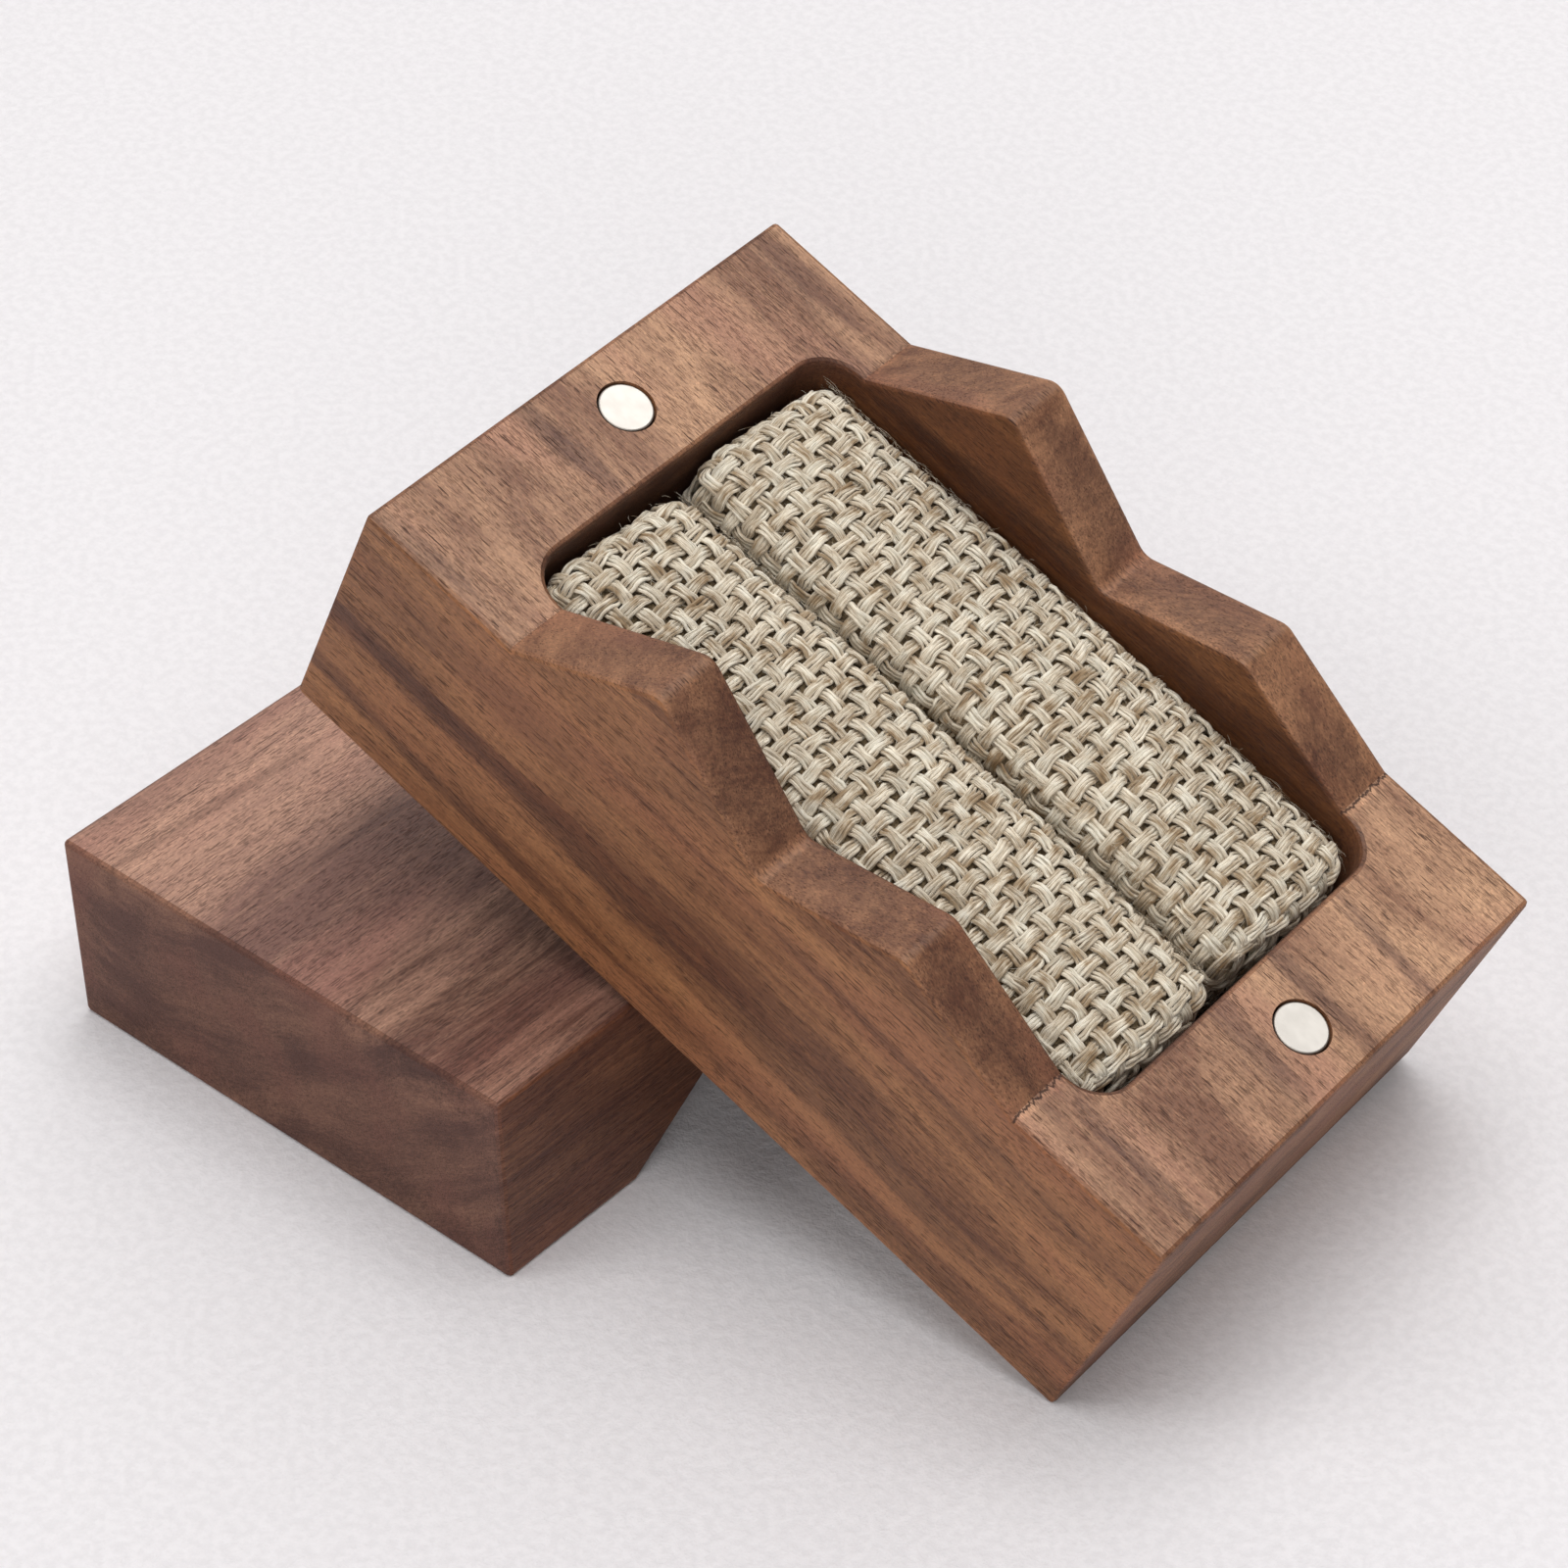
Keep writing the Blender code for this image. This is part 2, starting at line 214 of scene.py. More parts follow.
def make_pore_group():
    """Open pores: dark dashes along X. Stretch sets how long and how close they are, Share how many are open."""
    recipe, take, give = new_group("walnut_pores", [
        ("Vector", "Place", None), ("Vector", "Stretch", (0.5, 3, 3)), ("Float", "Half Width", 0.22),
        ("Float", "Share", 0.5)], [("Float", "Mask")])
    cells = recipe.add("ShaderNodeTexVoronoi", {"Vector": recipe.vector("MULTIPLY", take["Place"], take["Stretch"]),
                                                "Scale": 1.0, "Randomness": 1.0}).outputs
    pick = recipe.add("ShaderNodeSeparateColor", {"Color": cells["Color"]}).outputs
    width = recipe.sum("MULTIPLY", take["Half Width"], recipe.between(pick["Green"], 0.0, 1.0, 0.6, 1.35, False))
    body = recipe.between(recipe.sum("DIVIDE", cells["Distance"], width), 1.0, 0.7)
    depth = recipe.between(pick["Blue"], 0.0, 1.0, 0.5, 1.0, False)
    kept = recipe.sum("LESS_THAN", pick["Red"], take["Share"])
    recipe.feed(give.inputs["Mask"], recipe.sum("MULTIPLY", recipe.sum("MULTIPLY", body, depth), kept))
    return recipe.tree


# The three sizes of pore: stretch, half width, least and most share open, how dark.
PORES = (
    ((0.50, 5.4, 5.4), 0.34, 0.35, 0.95, 0.95),
    ((1.10, 9.0, 9.0), 0.42, 0.40, 0.90, 0.70),
    ((0.10, 3.4, 3.4), 0.20, 0.05, 0.55, 0.95),
)

# What each kind of face does to the wood's colour: painted sheen on flat tops, painted light on long sides and cut
# faces, darker ends, painted shade in the pocket, edges paler from wear and painted highlight.
TOP_SHEEN_TINT, SIDE_LIGHT_TINT, END_TINT = (1.54, 1.80, 2.16, 1), (1.09, 1.00, 0.85, 1), (0.92, 0.92, 0.94, 1)
POCKET_SHADE_TINT, WEAR_AND_HIGHLIGHT_TINT = (0.52, 0.45, 0.40, 1), (1.45, 1.45, 1.45, 1)
CUT_SHEEN_TINT = (0.97, 0.96, 1.02, 1)
GLINT_TINT = (1.55, 1.50, 1.50, 1)


def make_walnut_group(pore_group):
    """Oiled walnut whose grain runs along X, in millimetres: growth layers, streaks, fibres and open pores."""
    recipe, take, give = new_group("walnut", [
        ("Vector", "Place", None), ("Float", "Ring Middle", 27.0), ("Float", "Ring Curve", 0.006),
        ("Float", "Streaks", 0.0), ("Float", "Top", 0.0), ("Float", "Side", 0.0), ("Float", "End", 0.0),
        ("Float", "Cut", 0.0), ("Float", "Inside", 0.0), ("Float", "Wear And Highlight", 0.0), ("Float", "Groove", 0.0),
        ("Float", "Openness", 1.0),
        ("Color", "Pale", (0.3, 0.16, 0.09, 1)), ("Color", "Brown", (0.2, 0.1, 0.05, 1)),
        ("Color", "Red", (0.2, 0.08, 0.05, 1)), ("Color", "Streak", (0.08, 0.04, 0.03, 1)),
        ("Color", "Pore", (0.03, 0.015, 0.01, 1))],
        [("Color", "Color"), ("Float", "Roughness"), ("Float", "Height")])
    place = take["Place"]
    parts = recipe.add("ShaderNodeSeparateXYZ", {"Vector": place}).outputs
    off = recipe.sum("SUBTRACT", parts["Y"], take["Ring Middle"])
    bow = recipe.sum("MULTIPLY", recipe.sum("MULTIPLY", off, off), take["Ring Curve"])
    waver = recipe.noise(place, detail=2.0, stretch=(0.022, 0.045, 0.03))
    ring = recipe.sum("ADD", recipe.sum("SUBTRACT", parts["Z"], bow), recipe.between(waver, 0.2, 0.8, -3.2, 3.2, False))
    layers = recipe.add("ShaderNodeCombineXYZ", {"X": parts["X"], "Y": parts["Y"], "Z": ring}).outputs["Vector"]
    bands = recipe.noise(layers, detail=2.0, roughness=0.5, stretch=(0.006, 0.03, 0.17))
    lines = recipe.noise(layers, detail=3.0, roughness=0.6, stretch=(0.012, 0.16, 0.85))
    threads = recipe.noise(layers, detail=3.0, roughness=0.65, stretch=(0.10, 1.3, 3.6))
    fibres = recipe.noise(place, detail=2.0, roughness=0.6, stretch=(0.45, 5.5, 5.5))
    flecks = recipe.noise(place, detail=3.0, roughness=0.75, stretch=(2.2, 5.2, 5.2))
    clouds = recipe.noise(place, detail=2.0, roughness=0.5, stretch=(0.035, 0.11, 0.11))
    tone = 0.5
    for field, reach in ((bands, 0.44), (lines, 0.24), (threads, 0.13), (fibres, 0.16), (clouds, 0.30)):
        tone = recipe.sum("ADD", tone, recipe.between(field, 0.32, 0.68, -reach, reach, False))
    tone = recipe.sum("ADD", tone, 0.0, clamp=True)
    wood = recipe.blend(tone, take["Brown"], take["Pale"])
    wood = recipe.blend(recipe.between(clouds, 0.48, 0.66, 0.0, 0.5), wood, take["Red"])
    streaks = recipe.sum("MULTIPLY", take["Streaks"], recipe.between(threads, 0.3, 0.66, 0.85, 0.5))
    wood = recipe.blend(streaks, wood, take["Streak"])
    # Painted light by facing: sheen on flat tops, warmer long sides, cooler cut faces; painted shade in the pocket;
    # wear and painted highlight on edges.
    for face, tint in (("Top", TOP_SHEEN_TINT), ("Side", SIDE_LIGHT_TINT), ("Cut", CUT_SHEEN_TINT), ("End", END_TINT),
                       ("Inside", POCKET_SHADE_TINT), ("Wear And Highlight", WEAR_AND_HIGHLIGHT_TINT)):
        wood = recipe.blend(take[face], wood, tint, "MULTIPLY")
    wood = recipe.blend(1.0, wood, recipe.between(flecks, 0.34, 0.66, 0.80, 1.22, False), "MULTIPLY")
    crowd = recipe.noise(place, detail=2.0, roughness=0.5, stretch=(0.035, 0.22, 0.22))
    pores = None
    for stretch, half_width, fewest, most, depth in PORES:
        node = recipe.add("ShaderNodeGroup", {}, node_tree=pore_group)
        for label, value in (("Place", place), ("Stretch", stretch), ("Half Width", half_width),
                             ("Share", recipe.between(crowd, 0.36, 0.64, fewest, most))):
            recipe.feed(node.inputs[label], value)
        mask = recipe.sum("MULTIPLY", node.outputs["Mask"], depth)
        pores = mask if pores is None else recipe.sum("MAXIMUM", pores, mask)
    glints = recipe.noise(place, detail=1.0, stretch=(2.6, 6.0, 6.0))
    wood = recipe.blend(recipe.between(glints, 0.60, 0.74, 0.0, 0.5), wood, GLINT_TINT, "MULTIPLY")
    openness = recipe.sum("MULTIPLY", take["Openness"], recipe.between(take["Cut"], 0.0, 1.0, 1.0, 0.75, False))
    pores = recipe.sum("MAXIMUM", recipe.sum("MULTIPLY", pores, openness), take["Groove"])
    wood = recipe.blend(recipe.sum("MULTIPLY", pores, 0.9), wood, take["Pore"])
    recipe.feed(give.inputs["Color"], wood)
    rough = recipe.sum("ADD", recipe.between(fibres, 0.3, 0.7, 0.40, 0.50, False), recipe.sum("MULTIPLY", pores, 0.3))
    recipe.feed(give.inputs["Roughness"], recipe.sum("ADD", rough, recipe.sum("MULTIPLY", take["Cut"], 0.16)))
    grain = recipe.sum("ADD", recipe.sum("MULTIPLY", fibres, 0.5), recipe.sum("MULTIPLY", flecks, 0.9))
    recipe.feed(give.inputs["Height"], recipe.sum("SUBTRACT", grain, recipe.sum("MULTIPLY", pores, 1.2)))
    return recipe.tree


# Streaks seen in the wood, and on the lid a painted shadow: middle, half size, slope up, slope across, fray, strength.
BASE_STREAKS = (
    ((60, 0, 22.4), (38, 3, 0.7), -0.057, 0.0, 0.6, 0.7),
    ((26, 0, 12.0), (34, 4, 1.7), -0.072, 0.0, 0.7, 1.0),
    ((60, 0, 9.6), (34, 4, 2.4), -0.06, 0.0, 0.8, 0.8),
    ((45, 0, 14.6), (18, 4, 3.6), -0.05, 0.0, 0.9, 0.6),
    ((16, 0, 4.6), (28, 5, 1.0), -0.06, 0.0, 0.5, 1.0),
    ((74, 0, 2.6), (34, 5, 1.8), -0.02, 0.0, 0.7, 0.7),
    ((10, 0, 21), (20, 3, 4.0), -0.05, 0.0, 0.8, 0.4),
    ((5, 19.0, 27), (11, 1.2, 6), 0.0, 0.06, 0.6, 0.8),
    ((6, 50.5, 27), (8, 1.8, 6), 0.0, 0.0, 0.6, 0.5),
    ((5, 0.8, 27), (12, 1.2, 5), 0.0, 0.03, 0.6, 0.6),
    ((84, 39.7, 27), (10, 1.2, 6), 0.0, -0.08, 0.6, 1.0),
    ((83, 30.5, 27), (8, 1.2, 6), 0.0, -0.05, 0.6, 0.8),
    ((84, 21.5, 27), (9, 1.5, 6), 0.0, -0.06, 0.7, 0.8),
    ((82, 5.5, 27), (10, 1.2, 6), 0.0, -0.03, 0.6, 0.9),
    ((25, 4.6, 31), (8, 2.4, 6), 0.0, 0.10, 0.5, 0.5),
    ((38, 3.4, 31), (11, 5.0, 8), 0.0, 0.08, 0.4, 0.8),
    ((52, 5.0, 29), (7, 2.4, 6), 0.0, 0.12, 0.5, 0.45),
    ((67, 3.4, 28), (9, 3.4, 6), 0.0, 0.05, 0.5, 0.7),
    ((23, 50.6, 31), (9, 4.0, 8), 0.0, 0.1, 0.45, 0.65),
    ((38, 51, 30), (10, 4.4, 8), 0.0, 0.05, 0.45, 0.75),
    ((53, 51, 29), (10, 4.4, 6), 0.0, 0.05, 0.45, 0.8),
    ((68, 50.5, 28), (8, 2.6, 6), 0.0, 0.0, 0.5, 0.7),
    ((30, 47.1, 27), (18, 3, 1.4), 0.10, 0.0, 0.6, 0.8),
    ((38, 47.1, 21), (26, 3, 1.6), -0.05, 0.0, 0.6, 0.8),
    ((64, 47.1, 25), (16, 3, 1.2), -0.08, 0.0, 0.6, 0.7),
)
LID_STREAKS_AND_SHADOW = (
    ((34, 7.0, 20), (44, 7.0, 5), 0.0, 0.03, 0.5, 0.55),
    ((30, 18.0, 20), (42, 1.6, 5), 0.0, 0.02, 0.6, 0.9),
    ((36, 25.0, 20), (34, 4.0, 5), 0.0, -0.02, 0.8, 0.2),
    ((26, 35.0, 20), (34, 1.3, 5), 0.0, 0.04, 0.6, 0.6),
    ((10, 47.2, 20), (22, 0.9, 5), 0.0, -0.05, 0.6, 0.6),
    ((0, 19.5, 16), (20, 2.2, 5), 0.0, 0.0, 0.8, 0.6),
    ((0, 16.0, 2.0), (20, 30, 4.4), 0.0, 0.0, 0.5, 0.85),
    ((0, 40.0, 7.0), (20, 20, 2.4), 0.0, 0.0, 0.6, 0.6),
    ((0, 46.0, 1.5), (20, 16, 2.6), 0.0, 0.0, 0.6, 0.8),
    ((40, 0, 14), (60, 2, 3.6), 0.02, 0.0, 0.6, 0.9),
    ((30, 0, 4), (60, 2, 6.0), -0.02, 0.0, 0.4, 1.0),
    # A painted shadow: darkens the lid's top along its side next to the base half, where the base half shades it.
    ((36, 9, 20), (58, 12, 6), 0.0, 0.02, 0.4, 1.0),
    # The last two rows darken the lid's whole visible end and its whole long side next to the base half.
    ((0, 24, 8), (1.5, 44, 14), 0.0, 0.0, 0.3, 0.6),
    ((30, 0, 8), (60, 1.5, 14), 0.0, 0.0, 0.3, 1.0),
)

# Fine lines across the tops of the base's long walls: place along, half width, how strong.
BASE_SAW_LINES = ((16.6, 0.10, 0.35), (73.5, 0.12, 0.95))
# Paler lines at the creases and along the valley: wear and a painted highlight where the rounding catches light.
BASE_WEAR_AND_HIGHLIGHT_LINES = ((16.9, 0.22, 0.5), (45.0, 0.55, 0.75), (73.9, 0.25, 0.7))
LANDING_LEVEL, LANDINGS_FROM_MIDDLE, POCKET_SIDE, POCKET_FAR_SIDE = 26.5, 28.3, 6.9, 47.1
POCKET_HALF_LENGTH, POCKET_HALF_WIDTH, POCKET_RIM = 32.7, 20.1, 0.35


def wall_lines(recipe, place, lines):
    """Slightly jagged lines across the tops of the base half's long walls."""
    parts = recipe.add("ShaderNodeSeparateXYZ", {"Vector": place}).outputs
    jagged = recipe.noise(place, detail=2.0, roughness=0.7, stretch=(0.0, 1.6, 0.0))
    along = recipe.sum("ADD", parts["X"], recipe.between(jagged, 0.3, 0.7, -0.3, 0.3, False))
    on_wall = recipe.sum("MAXIMUM", recipe.between(parts["Y"], POCKET_SIDE + 0.3, POCKET_SIDE),
                         recipe.between(parts["Y"], POCKET_FAR_SIDE - 0.3, POCKET_FAR_SIDE))
    on_top = recipe.sum("MULTIPLY", on_wall, recipe.between(parts["Z"], LANDING_LEVEL - 0.5, LANDING_LEVEL - 0.2))
    total = None
    for middle, half_width, strength in lines:
        off = recipe.sum("ABSOLUTE", recipe.sum("SUBTRACT", along, middle))
        line = recipe.between(off, 1.3 * half_width, 0.6 * half_width, 0.0, strength)
        total = line if total is None else recipe.sum("MAXIMUM", total, line)
    return recipe.sum("MULTIPLY", total, on_top)


def on_landings(recipe, place):
    """1 at the base half's two landings, 0 along its mountain line."""
    along = recipe.add("ShaderNodeSeparateXYZ", {"Vector": place}).outputs["X"]
    off = recipe.sum("ABSOLUTE", recipe.sum("SUBTRACT", along, BOX_LENGTH / 2))
    return recipe.between(off, LANDINGS_FROM_MIDDLE - 0.5, LANDINGS_FROM_MIDDLE + 0.1)


def inside_pocket(recipe, place, flat):
    """1 on the base half's pocket walls and floor, 0 outside, also on the flat landings round its rim."""
    parts = recipe.add("ShaderNodeSeparateXYZ", {"Vector": place}).outputs
    below = recipe.between(parts["Z"], LANDING_LEVEL - 0.3, LANDING_LEVEL - 0.9)
    within = recipe.sum("MAXIMUM", below, recipe.sum("SUBTRACT", 1.0, flat))
    for axis, middle, half in (("X", BOX_LENGTH / 2, POCKET_HALF_LENGTH), ("Y", MAGNET_ACROSS, POCKET_HALF_WIDTH)):
        off = recipe.sum("ABSOLUTE", recipe.sum("SUBTRACT", parts[axis], middle))
        within = recipe.sum("MULTIPLY", within, recipe.between(off, half + POCKET_RIM, half))
    return within


def make_walnut(name, matrix, streaks, groups, paints, rings, from_tree, openness, lined=False):
    """The finish of one half: its own streaks and growth rings, darker cut slopes and ends, paler edges from wear and
    painted highlight, painted sheen on flat tops, painted shade in the pocket and, on the lid, a painted shadow.
    """
    material, recipe, shader = new_material(name)
    place = place_in(recipe, matrix)
    mask = None
    for middle, half_size, slope_up, slope_across, fray, strength in streaks:
        node = recipe.add("ShaderNodeGroup", node_tree=groups["streak"])
        for label, value in (("Place", place), ("Middle", middle), ("Half Size", half_size), ("Fray", fray),
                             ("Slope Up", slope_up), ("Slope Across", slope_across), ("Strength", strength)):
            recipe.feed(node.inputs[label], value)
        mask = node.outputs["Mask"] if mask is None else recipe.sum("MAXIMUM", mask, node.outputs["Mask"])
    facing = recipe.add("ShaderNodeTexCoord").outputs["Normal"]
    grain_way = matrix.to_3x3() @ Vector((1, 0, 0))
    side_way = matrix.to_3x3() @ Vector((0, 1, 0))
    up_way = matrix.to_3x3() @ Vector((0, 0, 1))
    cut = recipe.sum("ABSOLUTE", recipe.vector("DOT_PRODUCT", facing, tuple(grain_way.normalized())))
    side = recipe.sum("ABSOLUTE", recipe.vector("DOT_PRODUCT", facing, tuple(side_way.normalized())))
    top = recipe.sum("ABSOLUTE", recipe.vector("DOT_PRODUCT", facing, tuple(up_way.normalized())))
    # Edges of the long sides: paler from wear and painted highlight.
    wear_and_highlight = recipe.sum("MULTIPLY", recipe.between(side, 0.2, 0.5), recipe.between(side, 0.985, 0.85, 0.0, 0.35))
    flat_top = recipe.between(top, 0.94, 0.99)
    if lined:
        inside = inside_pocket(recipe, place, flat_top)
        flat_top = recipe.sum("MULTIPLY", flat_top, on_landings(recipe, place))
        flat_top = recipe.sum("MULTIPLY", flat_top, recipe.sum("SUBTRACT", 1.0, inside))
    node = recipe.add("ShaderNodeGroup", node_tree=groups["walnut"])
    for label, value in (("Place", recipe.vector("ADD", place, from_tree)), ("Ring Middle", rings[0] + from_tree[1]),
                         ("Ring Curve", rings[1]), ("Streaks", mask), ("Top", flat_top),
                         ("Side", recipe.between(side, 0.6, 0.95)), ("End", recipe.between(cut, 0.7, 0.95)),
                         ("Cut", recipe.between(cut, 0.12, 0.45)), ("Wear And Highlight", wear_and_highlight), ("Openness", openness),
                         ("Pale", paints[0]),
                         ("Brown", paints[1]), ("Red", paints[2]), ("Streak", paints[3]), ("Pore", paints[4])):
        recipe.feed(node.inputs[label], value)
    if lined:
        recipe.feed(node.inputs["Groove"], wall_lines(recipe, place, BASE_SAW_LINES))
        # Painted shade over the pocket's walls and floor.
        recipe.feed(node.inputs["Inside"], inside)
        recipe.feed(node.inputs["Wear And Highlight"], recipe.sum("MAXIMUM", wear_and_highlight, wall_lines(recipe, place, BASE_WEAR_AND_HIGHLIGHT_LINES)))
    bump = recipe.add("ShaderNodeBump", {"Strength": 0.5, "Distance": 0.06 * MM, "Height": node.outputs["Height"]})
    recipe.feed(shader.inputs["Base Color"], node.outputs["Color"])
    recipe.feed(shader.inputs["Roughness"], node.outputs["Roughness"])
    recipe.feed(shader.inputs["Normal"], bump.outputs["Normal"])
    shader.inputs["Specular IOR Level"].default_value = 0.4
    return material


def make_nickel(name, matrix):
    """Nickel plate, bright and finely rubbed, duller and darker round its rim."""
    material, recipe, shader = new_material(name)
    place = place_in(recipe, matrix)
    parts = recipe.add("ShaderNodeSeparateXYZ", {"Vector": place}).outputs
    along = recipe.sum("SUBTRACT", recipe.sum("ABSOLUTE", recipe.sum("SUBTRACT", parts["X"], BOX_LENGTH / 2)),
                       MAGNET_FROM_MIDDLE)
    across = recipe.sum("SUBTRACT", parts["Y"], MAGNET_ACROSS)
    reach = recipe.vector("LENGTH", recipe.add("ShaderNodeCombineXYZ", {"X": along, "Y": across}).outputs["Vector"])
    rim = recipe.between(reach, MAGNET_RADIUS - 0.20, MAGNET_RADIUS - 0.06)
    rubbed = recipe.noise(place, detail=3.0, roughness=0.6, stretch=(1.2, 14.0, 14.0))
    clouds = recipe.noise(place, detail=2.0, roughness=0.5, stretch=(0.5, 0.6, 0.6))
    plate = recipe.blend(recipe.between(clouds, 0.35, 0.65), colour(203, 198, 191), colour(213, 208, 201))
    recipe.feed(shader.inputs["Base Color"], recipe.blend(rim, plate, colour(158, 150, 142)))
    recipe.feed(shader.inputs["Roughness"], recipe.sum("ADD", recipe.between(rubbed, 0.3, 0.7, 0.40, 0.48),
                                                       recipe.sum("MULTIPLY", rim, 0.15)))
    bump = recipe.add("ShaderNodeBump", {"Strength": 0.1, "Distance": 0.005 * MM, "Height": rubbed})
    recipe.feed(shader.inputs["Normal"], bump.outputs["Normal"])
    shader.inputs["Metallic"].default_value = 1.0
    return material


def make_board():
    """Grey-brown board with short fibres."""
    material, recipe, shader = new_material("cushion_board_grey")
    place = place_in(recipe, base_frame())
    flecks = recipe.noise(place, detail=4.0, roughness=0.7, stretch=(2.2, 2.8, 4.0))
    ply = recipe.noise(place, detail=2.0, roughness=0.5, stretch=(0.1, 0.1, 7.0))
    share = recipe.sum("ADD", recipe.sum("MULTIPLY", flecks, 0.7), recipe.sum("MULTIPLY", ply, 0.3))
    recipe.feed(shader.inputs["Base Color"], recipe.blend(share, colour(112, 98, 82), colour(168, 152, 130)))
    recipe.feed(shader.inputs["Roughness"], recipe.between(flecks, 0.3, 0.7, 0.82, 0.96))
    bump = recipe.add("ShaderNodeBump", {"Strength": 0.4, "Distance": 0.05 * MM, "Height": flecks})
    recipe.feed(shader.inputs["Normal"], bump.outputs["Normal"])
    return material


def make_linen():
    """Straw-coloured yarn: each strand has its own tone, with fine fibres along it and browner lengths."""
    material, recipe, shader = new_material("linen_yarn")
    place = recipe.add("ShaderNodeAttribute", attribute_name="strand_place").outputs["Vector"]
    tone = recipe.add("ShaderNodeAttribute", attribute_name="strand_tone").outputs["Fac"]
    spot = place_in(recipe, base_frame())
    fibres = recipe.noise(place, detail=3.0, roughness=0.7, stretch=(0.6, 15.0, 15.0))
    splits = recipe.noise(place, detail=2.0, roughness=0.5, stretch=(0.45, 7.0, 7.0))
    lengths = recipe.noise(place, detail=2.0, roughness=0.6, stretch=(0.30, 0.9, 0.9))
    patches = recipe.noise(spot, detail=2.0, roughness=0.55, stretch=(0.55, 0.55, 0.55))
    share = recipe.sum("MULTIPLY", tone, 0.45)
    for field, reach in ((lengths, 0.34), (fibres, 0.55), (patches, 0.22)):
        share = recipe.sum("ADD", share, recipe.between(field, 0.3, 0.7, -reach, reach, False))
    share = recipe.sum("ADD", share, 0.30, clamp=True)
    yarn = recipe.blend(share, colour(154, 130, 98), colour(250, 240, 220))
    grey = recipe.between(patches, 0.5, 0.66, 0.0, 0.4)
    yarn = recipe.blend(grey, yarn, recipe.blend(share, colour(152, 144, 122), colour(238, 235, 222)))
    rusty = recipe.sum("ADD", recipe.sum("MULTIPLY", lengths, 0.4), recipe.sum("MULTIPLY", patches, 0.8))
    brown = recipe.between(recipe.sum("ADD", rusty, recipe.sum("MULTIPLY", tone, -0.05)), 0.53, 0.40, 0.0, 0.75)
    yarn = recipe.blend(brown, yarn, recipe.blend(share, colour(132, 104, 72), colour(210, 184, 146)))
    yarn = recipe.blend(recipe.between(splits, 0.42, 0.32, 0.0, 0.6), yarn, colour(104, 82, 56))
    recipe.feed(shader.inputs["Base Color"], yarn)
    recipe.feed(shader.inputs["Roughness"], recipe.between(fibres, 0.3, 0.7, 0.55, 0.75))
    height = recipe.sum("ADD", fibres, splits)
    bump = recipe.add("ShaderNodeBump", {"Strength": 0.7, "Distance": 0.07 * MM, "Height": height})
    recipe.feed(shader.inputs["Normal"], bump.outputs["Normal"])
    shader.inputs["Sheen Weight"].default_value = 0.15
    shader.inputs["Sheen Roughness"].default_value = 0.4
    shader.inputs["Specular IOR Level"].default_value = 0.35
    return material


def make_backing():
    """Dull brown cloth behind the open weave, its brown painted dark for the shade seen in the gaps between the yarns,
    and as pale as the linen at the corners that the weave leaves open.
    """
    material, recipe, shader = new_material("linen_backing")
    place = place_in(recipe, base_frame())
    threads = recipe.noise(place, detail=3.0, roughness=0.7, stretch=(4.0, 4.0, 4.0))
    share = recipe.between(threads, 0.35, 0.65)
    parts = recipe.add("ShaderNodeSeparateXYZ", {"Vector": place}).outputs
    seam = (ROLL_MIDDLES_ACROSS["front"] + ROLL_MIDDLES_ACROSS["back"]) / 2
    from_seam = recipe.sum("ABSOLUTE", recipe.sum("SUBTRACT", parts["Y"], seam))
    from_middle = recipe.sum("SUBTRACT", from_seam, ROLL_MIDDLES_ACROSS["back"] - seam)
    on_side = recipe.between(recipe.sum("ABSOLUTE", from_middle), CORNER_ACROSS - 0.6, CORNER_ACROSS)
    along = recipe.sum("ABSOLUTE", recipe.sum("SUBTRACT", parts["X"], ROLL_MIDDLE_ALONG))
    corner = recipe.sum("MULTIPLY", on_side, recipe.between(along, CORNER_ALONG - 0.6, CORNER_ALONG))
    # Painted shade: the dark brown seen through the gaps between the yarns.
    gap_shade = recipe.blend(share, colour(70, 56, 38), colour(138, 118, 88))
    pale = recipe.blend(share, colour(150, 128, 98), colour(222, 206, 178))
    recipe.feed(shader.inputs["Base Color"], recipe.blend(corner, gap_shade, pale))
    recipe.feed(shader.inputs["Roughness"], recipe.between(threads, 0.3, 0.7, 0.85, 0.98))
    bump = recipe.add("ShaderNodeBump", {"Strength": 0.4, "Distance": 0.1 * MM, "Height": threads})
    recipe.feed(shader.inputs["Normal"], bump.outputs["Normal"])
    return material


def make_floor_finish():
    """Pale suede paper: a fine nap over shallow dimples, almost white."""
    material, recipe, shader = new_material("pale_floor")
    place = recipe.vector("MULTIPLY", recipe.add("ShaderNodeTexCoord").outputs["Object"], (1000.0, 1000.0, 1000.0))
    nap = recipe.noise(place, scale=3.2, detail=3.0, roughness=0.6)
    dimples = recipe.noise(place, scale=0.95, detail=3.0, roughness=0.55)
    height = recipe.sum("ADD", recipe.sum("MULTIPLY", nap, 0.35), dimples)
    recipe.feed(shader.inputs["Base Color"], recipe.blend(recipe.between(height, 0.5, 0.85), colour(224, 221, 223),
                                                          colour(231, 228, 230)))
    recipe.feed(shader.inputs["Roughness"], recipe.between(nap, 0.3, 0.7, 0.75, 0.9))
    bump = recipe.add("ShaderNodeBump", {"Strength": 0.5, "Distance": 0.25 * MM, "Height": height})
    recipe.feed(shader.inputs["Normal"], bump.outputs["Normal"])
    return material


# The cushion rolls

